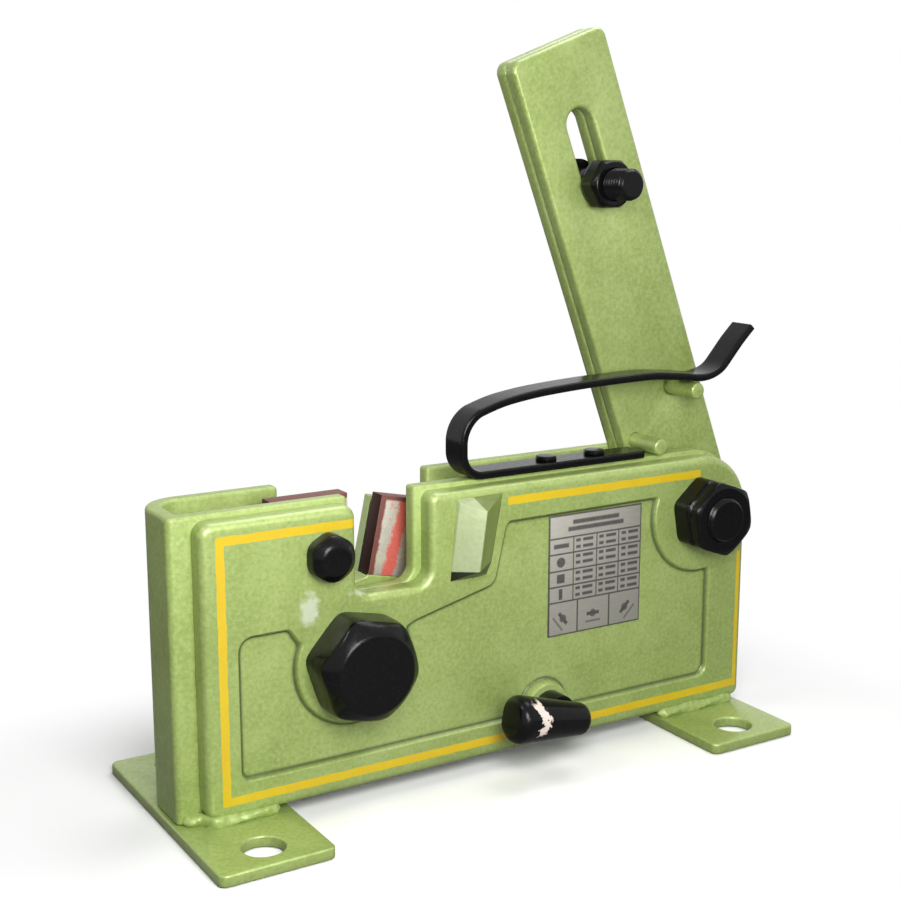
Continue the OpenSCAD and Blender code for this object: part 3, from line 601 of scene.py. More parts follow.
def blade_steel(name, middle, lean):
    """Steel with red smears placed across the blade and painted shade on its left side: u runs over its
    face from its middle.
    """
    f = Finish(name)
    p = f.spot()
    x, y, z = f.parts(p)
    c, s = math.cos(math.radians(lean)), math.sin(math.radians(lean))
    u = (x - middle[0]) * c - (z - middle[1]) * s
    v = (x - middle[0]) * s + (z - middle[1]) * c
    rag = f.noise(p, 5.0, 4.0, 0.65) - 0.5
    fine = f.noise(p, 1.4, 3.0, 0.7)
    streak = u.near(-9.0 + v * 0.10 + rag * 7.0, 4.4, 3.0)
    spatter = f.noise(p, 3.2, 3.0, 0.6).above(0.60, 0.10)
    spatter = spatter * (u + v * 0.1).near(-8.0, 9.0, 8.0) * 0.6
    border = (u + rag * 3.0).inside(-26.0, -21.0, 1.5)
    tops = (v + rag * 2.0).above(22.0, 1.5)
    # Painted shade: each blade's left side, near black and fully metallic.
    shaded_side = 1 - u.above(-24.7, 0.2)
    stain = largest((border, tops))
    red = largest((streak, spatter, stain)) * (1 - shaded_side * 0.8)
    metal = f.mix(fine, BLADE, BLADE_PALE)
    metal = f.mix(shaded_side, metal, f.mix(fine, SIDE_SHADE, SIDE_SHADE_PALE))
    smear = f.mix(fine, RED, RED_PALE)
    smear = f.mix(stain, smear, f.mix(fine, RED_DRY, RED_DRY_PALE))
    f.give("Base Color", f.mix(red, metal, smear))
    f.give("Metallic", ((1 - red) * 0.6).maths("MAXIMUM", shaded_side))
    f.give("Roughness", 0.36 + fine * 0.2 + red * 0.1)
    f.bump(fine * 0.05 + red * 0.08, 0.5)
    return f.material


soften("moving_blade", BLADE_EDGE, blade_steel("moving_blade_steel", MOVING_MID, MOVING_LEAN))
soften("fixed_blade", BLADE_EDGE, blade_steel("fixed_blade_steel", FIXED_MID, FIXED_LEAN))
print("blades ready")

# %% [markdown]
# ## Meshes from arrays
# New pieces are grids of points worked out with numpy. A grid of rows and columns
# becomes quads by joining each point to its neighbours, all at once.

# %% Mesh helpers
ARC_STEP = math.radians(6.0)


def grid_faces(rows, cols, close_rows=False, close_cols=False):
    """Quads of a grid of points; a closed direction joins its last line to its first."""
    i = np.arange(rows if close_rows else rows - 1)
    j = np.arange(cols if close_cols else cols - 1)
    i, j = np.meshgrid(i, j, indexing="ij")
    a = i * cols + j
    b = i * cols + (j + 1) % cols
    c = ((i + 1) % rows) * cols + (j + 1) % cols
    d = ((i + 1) % rows) * cols + j
    return np.stack([a, b, c, d], -1).reshape(-1, 4)


def make_piece(name, points_mm, faces, material, body, stands_for=()):
    """A mesh object from points in drawing millimetres; it rides on a body."""
    mesh = bpy.data.meshes.new(name)
    mesh.from_pydata(place(points_mm).tolist(), [], [list(map(int, f)) for f in faces])
    mesh.update()
    obj = bpy.data.objects.new(name, mesh)
    bpy.context.scene.collection.objects.link(obj)
    dress(obj, material)
    if stands_for:
        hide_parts(*stands_for)
    if body:
        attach(obj, body)
    print(name, len(mesh.vertices), "points", len(mesh.polygons), "faces")
    return obj


def rounded_outline(corners, step_mm):
    """Closed outline from (x, z, radius) corners: corners as arcs, straights cut into steps."""
    p = np.array([c[:2] for c in corners], float)
    r = np.array([c[2] for c in corners], float)
    before, after = np.roll(p, 1, 0), np.roll(p, -1, 0)
    u = (before - p) / np.linalg.norm(before - p, axis=1)[:, None]
    v = (after - p) / np.linalg.norm(after - p, axis=1)[:, None]
    half = np.arccos(np.clip((u * v).sum(1), -1, 1)) / 2
    out = (u + v) / np.linalg.norm(u + v, axis=1)[:, None]
    middle = p + out * (r / np.sin(half))[:, None]
    lines = []
    for k in range(len(p)):
        start = p[k] + u[k] * r[k] / math.tan(half[k])
        end = p[k] + v[k] * r[k] / math.tan(half[k])
        a0 = math.atan2(*(start - middle[k])[::-1])
        a1 = math.atan2(*(end - middle[k])[::-1])
        turn = (a1 - a0 + math.pi) % (2 * math.pi) - math.pi
        a = a0 + turn * np.linspace(0, 1, max(2, int(abs(turn) / ARC_STEP) + 2))
        lines.append(middle[k] + r[k] * np.stack([np.cos(a), np.sin(a)], -1))
    joined = []
    for k, arc in enumerate(lines):
        gap = lines[(k + 1) % len(lines)][0] - arc[-1]
        n = max(1, int(np.linalg.norm(gap) / step_mm))
        joined += [arc, arc[-1] + gap * (np.arange(1, n) / n)[:, None]]
    return np.concatenate(joined)


def distance_to(points, outline):
    """Signed distance of points to a closed outline: negative inside."""
    a, b = outline, np.roll(outline, -1, 0)
    d = b - a
    best = np.full(len(points), 1e9)
    crossings = np.zeros(len(points), int)
    for k in range(len(a)):
        w = points - a[k]
        t = np.clip((w @ d[k]) / max(d[k] @ d[k], 1e-12), 0, 1)
        best = np.minimum(best, np.linalg.norm(w - t[:, None] * d[k], axis=1))
        rising = (a[k, 1] <= points[:, 1]) != (b[k, 1] <= points[:, 1])
        if rising.any():
            at = a[k, 0] + (points[:, 1] - a[k, 1]) * d[k, 0] / (d[k, 1] if d[k, 1] else 1e-12)
            crossings += rising & (points[:, 0] < at)
    return np.where(crossings % 2 == 1, -best, best)


print("mesh helpers ready")

# %% [markdown]
# ## Bolts and nuts
# Each head is a hexagon whose corners were drawn off by a lathe and then filled out by
# thick paint. A profile is turned about the bolt's axis, and wherever the hexagon is
# nearer to the axis than the profile, the hexagon wins, with the crease rounded over.
# A rounded hexagon comes from the p-norm of three cosines, one for each pair of flats.

# %% Bolts and nuts
FLATS = np.radians([30.0, 90.0, 150.0])
COLUMNS = 96


def hexagon_reach(angle, across, turn_deg, power):
    """Half the width across flats over the p-norm of the cosines to the flats, turned clockwise."""
    c = np.abs(np.cos(angle[:, None] - (FLATS - math.radians(turn_deg))))
    return across / 2 / (c**power).sum(1) ** (1 / power)


def soft_min(a, b, power=22.0):
    """The smaller of two lengths, with the crease rounded: a power mean."""
    return (a**-power + b**-power) ** (-1 / power)


def turned(middle, corners, hexes=(), threads=(), ring=False, power=18.0):
    """Profile corners (reach, y, radius) turned about y; hexes cut it, threads groove it."""
    profile = rounded_outline(corners, 0.5 if threads else 3.0)
    keep = np.linalg.norm(profile - np.roll(profile, 1, 0), axis=1) > 1e-6
    profile = profile[keep]
    if not ring:
        profile = profile[profile[:, 0] > 1e-6]
    angle = np.linspace(0, 2 * math.pi, COLUMNS, endpoint=False)
    reach = np.repeat(profile[:, :1], COLUMNS, 1)
    y = np.repeat(profile[:, 1:], COLUMNS, 1)
    for low, high, across, turn in hexes:
        cut = soft_min(reach, hexagon_reach(angle, across, turn, power)[None])
        reach = np.where((y >= low - 1e-6) & (y <= high + 1e-6), cut, reach)
    for low, high, pitch, depth, outer in threads:
        wave = 0.5 - 0.5 * np.cos(2 * math.pi * (y / pitch - angle[None] / (2 * math.pi)))
        held = smooth((y - low) / 1.5) * smooth((high - y) / 1.5) * (reach > outer - 0.3)
        reach = reach - depth * wave * held
    points = np.stack([middle[0] + reach * np.cos(angle), y, middle[1] + reach * np.sin(angle)], -1)
    rows = len(profile)
    faces = grid_faces(rows, COLUMNS, close_rows=ring, close_cols=True).tolist()
    if not ring:
        faces += [list(range(COLUMNS))[::-1], list(range((rows - 1) * COLUMNS, rows * COLUMNS))]
    return points.reshape(-1, 3), faces


def smooth(t):
    """0 below 0, 1 above 1, and 3t^2 - 2t^3 between."""
    t = np.clip(t, 0, 1)
    return t * t * (3 - 2 * t)


def outwards(points, faces):
    """Turns all faces round if the solid's volume, summed over its quads, comes out negative."""
    quads = np.array([f for f in faces if len(f) == 4])
    a, b, c, d = (points[quads[:, k]] - points.mean(0) for k in range(4))
    volume = (a * np.cross(b, c)).sum() + (a * np.cross(c, d)).sum()
    return faces if volume > 0 else [f[::-1] for f in faces]


def nut_corners(across, hole, low, high, front, rear):
    """Profile of a nut: a drawn-off cone on the free faces, paint-rounded edges."""
    drawn, past, ease = across * 0.465, across * 0.62, 0.25 * (high - low)
    if front:
        corners = [(hole, low, 0.8), (drawn, low, 2.0), (past, low + ease, 0.5)]
    else:
        corners = [(hole, low, 0.3), (past, low, 0.5)]
    if rear:
        return corners + [(past, high - ease, 0.5), (drawn, high, 2.0), (hole, high, 0.8)]
    return corners + [(past, high, 0.5), (hole, high, 0.3)]


def fastener(name, node, body, middle, corners, **how):
    """A turned piece in black paint that stands for one CAD solid."""
    points, faces = turned(middle, corners, **how)
    obj = make_piece(name, points, outwards(points, faces), black, body, [node])
    shade_softly(obj)


def nut(name, node, body, middle, across, shank, ends, turn=0.0, front=True, rear=True):
    """A hexagon nut between two depths on a shank; front and rear say which faces are free."""
    corners = nut_corners(across, shank + PLAY, *ends, front, rear)
    fastener(name, node, body, middle, corners, hexes=[(*ends, across, turn)], ring=True)


JAW_AT, LEVER_AT, KNOB_AT, BLADE_NUT_AT = (95.5, 80.0), (360.0, 137.0), (232.5, 25.0), (78.5, 147.0)
BACK_Y, WASHER, PLAY = 66.0, 4.0, 0.03
SEAT = BACK_Y + WASHER
JAW_HEX, JAW_TURN, JAW_SHANK, JAW_HEAD, JAW_NUT, JAW_END = 60.0, 12.0, 18.0, -28, 28.8, 101.8
LEVER_HEX, LEVER_TURN, LEVER_SHANK, LEVER_TIP, LEVER_HEAD = 46.0, 20.0, 15.0, -27, 18.9
LEVER_NUT, LOCK_NUT = (-16, 0), (-24, -16)
CLAMP_HEX, CLAMP_SHANK, CLAMP_TIP, CLAMP_HEAD, CLAMP_NUT = 30.0, 10.0, -1.4, (59.6, 72), (16.6, 34.6)
CAP_HEX, CAP_TOP, CAP_HOLE, CAP_DEPTH, CAP_R = 27.4, -13.2, 8.05, -8.5, 15.6
LEAN = math.radians(21.0)
SLOT_U, SLOT_LOW = 16.5, 228.0
CLAMP_AT = (
    LEVER_AT[0] + SLOT_U * math.cos(LEAN) - SLOT_LOW * math.sin(LEAN),
    LEVER_AT[1] + SLOT_U * math.sin(LEAN) + SLOT_LOW * math.cos(LEAN),
)

fastener(
    "jaw_bolt_painted", "jaw_pivot_bolt", "frame", JAW_AT,
    [
        (0, JAW_HEAD, 0), (24.0, JAW_HEAD, 4.0), (33.5, -19.5, 5.0), (36, -12, 2.0), (36, 0, 1.0),
        (JAW_SHANK, 0, 0.3), (JAW_SHANK, JAW_END, 1.5), (0, JAW_END, 0),
    ],
    hexes=[(JAW_HEAD, 0, JAW_HEX, JAW_TURN)],
    threads=[(97.0, 102.5, 4.0, 1.6, JAW_SHANK)],
)
nut("jaw_nut_painted", "jaw_pivot_nut", "frame", JAW_AT, JAW_HEX, JAW_SHANK,
    (SEAT, SEAT + JAW_NUT), front=False)
fastener(
    "lever_bolt_painted", "lever_pivot_bolt", "frame", LEVER_AT,
    [
        (0, LEVER_TIP, 0), (13, LEVER_TIP, 1.2), (LEVER_SHANK, -25, 0.8), (LEVER_SHANK, SEAT, 0.3),
        (29, SEAT, 0.5), (29, SEAT + 14, 1.5), (21.4, SEAT + LEVER_HEAD, 2.5), (0, SEAT + LEVER_HEAD, 0),
    ],
    hexes=[(SEAT, SEAT + LEVER_HEAD, LEVER_HEX, 0.0)],
    threads=[(-28.0, -23.0, 3.5, 1.3, LEVER_SHANK)],
)
nut("lever_nut_painted", "lever_pivot_nut", "frame", LEVER_AT, LEVER_HEX, LEVER_SHANK,
    LEVER_NUT, LEVER_TURN, rear=False)
nut("lock_nut_painted", "lever_lock_nut", "frame", LEVER_AT, LEVER_HEX, LEVER_SHANK,
    LOCK_NUT, LEVER_TURN)
fastener(
    "blade_nut_painted", "fixed_blade_nut", "frame", BLADE_NUT_AT,
    [
        (0, CAP_TOP, 0), (9.0, -12.6, 5.0), (14.6, -8.0, 5.5), (CAP_R, -3.0, 2.0), (CAP_R, 0, 1.0),
        (CAP_HOLE, 0, 0.2), (CAP_HOLE, CAP_DEPTH, 0.2), (0, CAP_DEPTH, 0),
    ],
    hexes=[(CAP_TOP - 0.1, 0, CAP_HEX, 30.0)],
    power=8.0,
)
fastener(
    "clamp_bolt_painted", "clamp_bolt", "handle_clamp", CLAMP_AT,
    [
        (0, CLAMP_TIP, 0), (8, CLAMP_TIP, 1.0), (CLAMP_SHANK, 0.6, 0.6), (CLAMP_SHANK, CLAMP_HEAD[0], 0.3),
        (19, CLAMP_HEAD[0], 0.5), (19, 69, 1.0), (14, CLAMP_HEAD[1], 1.6), (0, CLAMP_HEAD[1], 0),
    ],
    hexes=[(*CLAMP_HEAD, CLAMP_HEX, 0.0)],
    threads=[(-1.0, 17.5, 2.5, 1.1, CLAMP_SHANK)],
)
nut("clamp_nut_painted", "clamp_nut", "handle_clamp", CLAMP_AT, CLAMP_HEX, CLAMP_SHANK, CLAMP_NUT)

# %% [markdown]
# ## Front plate
# The raised front plate is a casting: its border is rounded over, a panel is sunk into
# it, and pads stay proud round the jaw bolt, the bar stop and the lever. Its face is a
# height worked out from distances: y rises with the distance to the outline (the
# rounded border) and with the distance to the panel's edge (the sunk floor). The points
# lie along lines of equal distance, so the rounded edges stay clean.

# %% Front plate
PLATE = [(0, 0, 8), (400, 0, 6), (400, 175, 38), (147.5, 175, 6), (147.5, 119.5, 10)]
PLATE += [(97.5, 119.5, 10), (97.5, 175, 8), (0, 175, 8)]
PANEL = [(22, 21, 6), (368, 21, 8), (368, 107, 3), (336, 152, 3), (203, 151, 5), (194, 112.5, 8)]
PANEL += [(137.5, 98.5, 12), (95.5, 80, 0.5), (59.5, 97.5, 3), (53.5, 106.5, 5), (22, 106.5, 9)]
PLATE_T, RIM_R, SINK, SLOPE = 12.0, 4.6, 3.0, 2.4
JAW_PAD, LEVER_PAD, KNOB_PAD, KNOB_RISE = 38.0, 40.0, 17.0, 4.0
STEP_SHARES = (-1.4, -0.95, -0.62, -0.46, -0.30, -0.15, 0.0, 0.15, 0.30, 0.46, 0.62)
RIM_INSETS = (0.15, 0.6, 1.3, 2.3, 3.4, RIM_R)
BOSS_INSETS = (-0.8, -0.2, 0.4, 1.0, 1.6, 2.2)
OUTLINE_STEP, PANEL_STEP, FILL_STEP, NEAREST = 3.0, 400.0, 5.0, 1e-7


def smooth_max(a, b, k):
    """The larger of two distances, with the crease rounded over k millimetres."""
    h = np.maximum(k - np.abs(a - b), 0) / k
    return np.maximum(a, b) + h * h * k / 4


def panel_distance(points, panel):
    """Distance to the panel's edge: its outline less the three round pads."""
    s = distance_to(points, panel)
    for middle, radius in ((JAW_AT, JAW_PAD), (LEVER_AT, LEVER_PAD), (KNOB_AT, KNOB_PAD)):
        s = smooth_max(s, radius - np.linalg.norm(points - middle, axis=1), 3.0)
    return s


def plate_height(points, outline, panel):
    """Depth y of the face: rounded border + sunk panel - knob boss."""
    d = np.maximum(-distance_to(points, outline), 0)
    lift = np.maximum(RIM_R - d, 0)
    y = RIM_R - np.sqrt(np.maximum(RIM_R**2 - lift**2, 0))
    y = y + SINK * smooth(0.5 - panel_distance(points, panel) / SLOPE)
    reach = np.linalg.norm(points - KNOB_AT, axis=1)
    return y - KNOB_RISE * smooth((KNOB_PAD + 0.6 - reach) / 2.4)


def level_points(values, xs, zs, level):
    """Points where a grid of values crosses a level, by linear steps along the grid's lines."""
    f = values - level
    found = []
    cross = (f[:-1] < 0) != (f[1:] < 0)
    i, j = np.nonzero(cross)
    t = f[i, j] / (f[i, j] - f[i + 1, j])
    found.append(np.stack([xs[i] + t * (xs[i + 1] - xs[i]), zs[j]], -1))
    cross = (f[:, :-1] < 0) != (f[:, 1:] < 0)
    i, j = np.nonzero(cross)
    t = f[i, j] / (f[i, j] - f[i, j + 1])
    found.append(np.stack([xs[i], zs[j] + t * (zs[j + 1] - zs[j])], -1))
    return np.concatenate(found)


def thin_out(points, size):
    """Keeps one point for each small square of the plane."""
    _, keep = np.unique(np.round(points / size).astype(int), axis=0, return_index=True)
    return points[np.sort(keep)]


def inset(outline, d):
    """The outline moved inwards by d along its normals."""
    run = np.roll(outline, -1, 0) - np.roll(outline, 1, 0)
    run /= np.linalg.norm(run, axis=1)[:, None]
    return outline + d * np.stack([-run[:, 1], run[:, 0]], -1)


def grid_points(xs, zs):
    """Every pair of an x and a z, one to a row."""
    gx, gz = np.meshgrid(xs, zs, indexing="ij")
    return np.stack([gx.ravel(), gz.ravel()], -1)


def plate_samples(outline, panel):
    """Points of the face: the outline and rings inside it, lines of equal distance along the
    panel's step, circles round the knob's boss, and a plain grid where the face is flat."""
    xs, zs = np.arange(15.0, 386.0, 1.0), np.arange(14.0, 166.0, 1.0)
    field = panel_distance(grid_points(xs, zs), panel).reshape(len(xs), len(zs))
    levels = SLOPE * np.array(STEP_SHARES)
    lines = [thin_out(level_points(field, xs, zs, v), 0.7) for v in levels]
    a = np.linspace(0, 2 * math.pi, 72, endpoint=False)
    circle = np.stack([np.cos(a), np.sin(a)], -1)
    rings = [inset(outline, d) for d in RIM_INSETS]
    rings += [KNOB_AT + (KNOB_PAD - d) * circle for d in BOSS_INSETS]
    rings = thin_out(np.concatenate(rings), 0.12)
    fill = grid_points(np.arange(3.0, 400.0, FILL_STEP), np.arange(3.0, 175.0, FILL_STEP))
    clear = -distance_to(fill, outline) > RIM_R + 1.5
    step = panel_distance(fill, panel)
    clear &= (step > STEP_SHARES[-1] * SLOPE + 1.2) | (step < STEP_SHARES[0] * SLOPE - 1.2)
    clear &= np.abs(np.linalg.norm(fill - KNOB_AT, axis=1) - KNOB_PAD + 0.7) > 3.0
    return np.concatenate([outline, rings, *lines, fill[clear]])


def front_plate():
    """Face from a triangulation of the sample points, then side walls and a back."""
    outline = rounded_outline(PLATE, OUTLINE_STEP)
    panel = rounded_outline(PANEL, PANEL_STEP)
    n = len(outline)
    ring = list(range(n))
    samples = [Vector(q) for q in plate_samples(outline, panel)]
    found = geometry.delaunay_2d_cdt(samples, [], [ring], 1, NEAREST)
    flat = np.array([tuple(v) for v in found[0]])
    tris = np.array(found[2])
    edge = np.linalg.norm(flat[None] - outline[:, None], axis=2).argmin(1)
    face = np.column_stack([flat[:, 0], plate_height(flat, outline, panel), flat[:, 1]])
    face[edge, 1] = RIM_R
    area = np.cross(flat[tris[:, 1]] - flat[tris[:, 0]], flat[tris[:, 2]] - flat[tris[:, 0]])
    tris[area < 0] = tris[area < 0][:, ::-1]
    back = np.column_stack([outline[:, 0], np.full(n, PLATE_T), outline[:, 1]])
    first = len(face)
    here, there = np.arange(n), (np.arange(n) + 1) % n
    walls = np.stack([edge[here], first + here, first + there, edge[there]], -1)
    lid = geometry.delaunay_2d_cdt([Vector(q) for q in outline], [], [ring], 1, NEAREST)[2]
    lid = [[first + k for k in reversed(t)] for t in lid]
    faces = [*tris.tolist(), *walls.tolist(), *lid]
    return np.concatenate([face, back]), faces


plate_points, plate_faces = front_plate()
plate_piece = make_piece(
    "front_plate_cast", plate_points, plate_faces, plate_paint,
    "frame", ["front_plate"],
)
shade_softly(plate_piece)


def add_numbers(obj, name, values):
    """One number for each point of a mesh, kept as an attribute that a finish can read."""
    numbers = obj.data.attributes.new(name, "FLOAT", "POINT")
    numbers.data.foreach_set("value", np.asarray(values, float))


def crevice_shade_share(points):
    """Painted shade: 1 at the foot of the panel's step and round the pads, falling to 0 over a millimetre
    or so.
    """
    step = panel_distance(points[:, [0, 2]], rounded_outline(PANEL, PANEL_STEP))
    share = np.exp(-(((step + SLOPE * 0.42) / 1.0) ** 2))
    return np.where(points[:, 1] < RIM_R - 0.05, share, 0.0)


# The plate's painted crevice shade, one number for each point.
add_numbers(plate_piece, "painted_crevice_shade", crevice_shade_share(plate_points))

# %% [markdown]
# ## Capacity plate
# A thin silver plate stands on the panel. It carries a printed grid of plain marks: a
# round, a square and a flat bar beside rows of dashes, and three framed boxes below. Every
# mark is a mask in the plate's own u and v.

# %% Capacity plate
LABEL_X, LABEL_W, LABEL_TOP, LABEL_H = 236.0, 74.0, 149.5, 80.0
ROWS = (0.19, 0.32, 0.46, 0.59, 0.72)
COLUMN_LINES = (0.26, 0.51, 0.75)
BOX_LINES = (0.31, 0.655)
BOX_MARKS, BOX_MIDDLE = ((0.155, 0.9), (0.48, 0.0), (0.83, -0.8)), 0.86
ICON_U, ROUND_V, SQUARE_V, FLAT_V = 0.127, 0.39, 0.525, 0.655
CELL_LEFT = (0.285, 0.535, 0.78)
SILVER, SILVER_PALE, INK = (0.30, 0.29, 0.25), (0.42, 0.40, 0.36), (0.035, 0.033, 0.032)
BRUSHED = (0.25, 1.0, 3.0)


def label_metal():
    """Brushed silver with grey lines, dark icons and dashes."""
    f = Finish("capacity_plate_metal", Metallic=0.55)
    p = f.spot()
    x, y, z = f.parts(p)
    u, v = (x - LABEL_X) / LABEL_W, (LABEL_TOP - z) / LABEL_H
    stretched = f.node("ShaderNodeVectorMath", {"operation": "MULTIPLY"}, {0: p, 1: BRUSHED})
    brushed = f.noise(stretched, 1.5, 3.0)
    print_wear = f.noise(p, 1.3, 3.0, 0.7)
    ink = largest((grid_lines(u, v), bar_icons(u, v), dash_rows(u, v), box_marks(u, v)))
    ink = (ink * (0.72 + print_wear * 0.4)).maths("MINIMUM", 1.0)
    silver = f.mix(brushed, SILVER, SILVER_PALE)
    f.give("Base Color", f.mix(ink, silver, INK))
    f.give("Metallic", 0.55 - ink * 0.5)
    f.give("Roughness", 0.40 + brushed * 0.15)
    f.bump(brushed * 0.02, 0.3)
    return f.material


def grid_lines(u, v):
    """The frame round the plate, the rows, the columns of the table and the boxes' sides."""
    lines = [1 - u.inside(0.012, 0.988, 0.008) * v.inside(0.012, 0.988, 0.008)]
    lines += [v.near(level, 0.007, 0.006) for level in ROWS]
    table = v.inside(ROWS[0], ROWS[-1], 0.004)
    lines += [u.near(line, 0.006, 0.006) * table for line in COLUMN_LINES]
    boxes = v.above(ROWS[-1], 0.004)
    lines += [u.near(line, 0.008, 0.006) * boxes for line in BOX_LINES]
    return largest(lines)


def bar_icons(u, v):
    """Sections of a round, a square and a flat bar."""
    dx, dz = (u - ICON_U) * LABEL_W, (v - ROUND_V) * LABEL_H
    round_bar = 1 - (dx * dx + dz * dz).maths("SQRT").above(3.3, 0.5)
    square_bar = u.near(ICON_U, 0.041, 0.008) * v.near(SQUARE_V, 0.037, 0.008)
    flat_bar = u.near(ICON_U, 0.019, 0.008) * v.near(FLAT_V, 0.045, 0.008)
    return largest((round_bar, square_bar, flat_bar))


def box_marks(u, v):
    """In each box a bar with a disc on it, and a thin line below; lean turns them."""
    marks = []
    for middle, lean in BOX_MARKS:
        c, s = math.cos(lean), math.sin(lean)
        a, b = (u - middle) * LABEL_W, (v - BOX_MIDDLE) * LABEL_H
        along, across = a * c + b * s, b * c - a * s
        marks.append(along.near(0.0, 5.0, 0.6) * across.near(0.0, 1.2, 0.6))
        marks.append((1 - (a * a + b * b).maths("SQRT").above(2.6, 0.6)) * 0.9)
        marks.append(across.near(5.2, 0.7, 0.6) * along.near(0.0, 6.0, 0.6) * 0.7)
    return largest(marks)


def dash_rows(u, v):
    """Two dashes on each of two lines in every cell: bands in v times bands in u."""
    lines = [v.near(top + down, 0.013, 0.010) for top in ROWS[:-1] for down in (0.035, 0.09)]
    runs = ((0.0, 0.05), (0.075, 0.185))
    marks = [u.inside(left + a, left + b, 0.012) for left in CELL_LEFT for a, b in runs]
    heading = v.near(0.255, 0.018, 0.012) * u.inside(0.05, 0.21, 0.012)
    title = v.near(0.07, 0.018, 0.014) * u.inside(0.25, 0.75, 0.012)
    below = v.near(0.125, 0.018, 0.014) * u.inside(0.2, 0.8, 0.012)
    return largest((largest(lines) * largest(marks), heading, title, below))


soften("capacity_plate", 0.2, label_metal(), segments=2)

# %% [markdown]
# ## Weld beads
# The frame stands on its feet in lumpy weld runs. A bead is a tube along x whose radius
# swells and shrinks with each drop of weld, so it is a sum of two waves.

# %% Weld beads
BEAD_COLUMNS, BEAD_STEP = 20, 0.9
CORNER_X, CORNER_RUN = -3.0, 8.0
WELD_RUNS = (
    (-11.0, 45.5, 2.0, -0.6, 4.6, 11.5),
    (8.0, 45.5, 68.0, -0.5, 4.2, None),
    (328.5, 394.0, 2.0, -0.6, 4.6, None),
    (328.5, 394.0, 68.0, -0.5, 4.2, None),
)


def bead(start, end, y_mid, z_mid, radius, seed, y_start=None):
    """Tube along x: radius = r (0.88 + drops + slow waver), drawn in and capped at both ends.

    y_start, where it is given, is the y that the tube eases from at the frame's corner.
    """
    x = np.linspace(start, end, int((end - start) / BEAD_STEP))
    a = np.linspace(0, 2 * math.pi, BEAD_COLUMNS, endpoint=False)
    drops = 0.10 * np.abs(np.sin(math.pi * (x / 6.5 + 0.25 * np.sin(x / 9.0 + seed))))
    waver = 0.10 * np.sin(x / 13.0 + 2.1 * seed) + 0.05 * np.sin(x / 4.1 + seed)
    drawn_in = np.sqrt(np.clip(np.minimum(x - start, end - x) / 4.0, 0.04, 1))
    lean = 0.10 * np.sin(a[None] * 3 + x[:, None] / 5.0)
    r = (radius * (0.88 + drops + waver) * drawn_in)[:, None] * (1 + lean)
    y = np.full(len(x), y_mid)
    if y_start is not None:
        y = y_start + (y_mid - y_start) * smooth((x - CORNER_X) / CORNER_RUN)
    along = np.repeat(x[:, None], BEAD_COLUMNS, 1)
    points = np.stack([along, y[:, None] + r * np.cos(a), z_mid + 0.9 * r * np.sin(a)], -1)
    faces = grid_faces(len(x), BEAD_COLUMNS, close_cols=True).tolist()
    last = (len(x) - 1) * BEAD_COLUMNS
    faces += [list(range(BEAD_COLUMNS))[::-1], list(range(last, last + BEAD_COLUMNS))]
    return points.reshape(-1, 3), faces


def weld_beads():
    """Front and rear runs at both feet, as one mesh; the left front run starts on the corner."""
    points, faces, first = [], [], 0
    for seed, (start, end, y_mid, z_mid, radius, y_start) in enumerate(WELD_RUNS):
        p, f = bead(start, end, y_mid, z_mid, radius, 1.0 + seed, y_start)
        f = outwards(p, f)
        faces += [[k + first for k in face] for face in f]
        points.append(p)
        first += len(p)
    return np.concatenate(points), faces


weld_points, weld_faces = weld_beads()
weld_piece = make_piece(
    "weld_runs", weld_points, weld_faces, shell_paint, "frame", ["foot_welds"]
)
shade_softly(weld_piece)

# %% [markdown]
# ## Spring catch
# The catch is one strip of spring steel: bolted along the frame's top, bent round, and
# run back over the lever's pin to a turned-up thumb tip. Its section is a rounded
# rectangle carried along the strip's middle line.

# %% Spring catch
STRIP_Y, STRIP_W, STRIP_T, STRIP_EASE = 17.0, 20.0, 5.0, 1.5
BASE_Z, BASE_END, BEND_X, LOW_R, HIGH_R, SPLIT_Z = 180.5, 315.0, 176.0, 14.0, 21.0, 200.5
BEND_END, DETENT, DETENT_R, DIP_X, DIP_GAP = 115.0, (29.0, 77.0), 6.0, 366.0, 0.4
BLEND_LOW, BLEND_HIGH, END_SHARE = 188.0, 217.0, 0.86
RISE_ALONG = (0.0, 0.12, 0.25, 0.40, 0.62, 0.83, 1.0)
RISE_UP = (0.0, 0.38, 0.61, 0.77, 0.91, 0.98, 1.0)
TIP_RISE = 31.5
TIP_ALONG = (-7, 0, 8, 15.5, 22.5, 31, 40.5, 45)
TIP_UP = (0.2, 0, 1.6, 0.175 * TIP_RISE, 0.41 * TIP_RISE, 0.71 * TIP_RISE, TIP_RISE, 1.14 * TIP_RISE)


def arc(middle, radius, start, end, count):
    """Points on a circle from one angle in degrees to another."""
    a = np.radians(np.linspace(start, end, count))
    return np.array(middle) + radius * np.column_stack([np.cos(a), np.sin(a)])


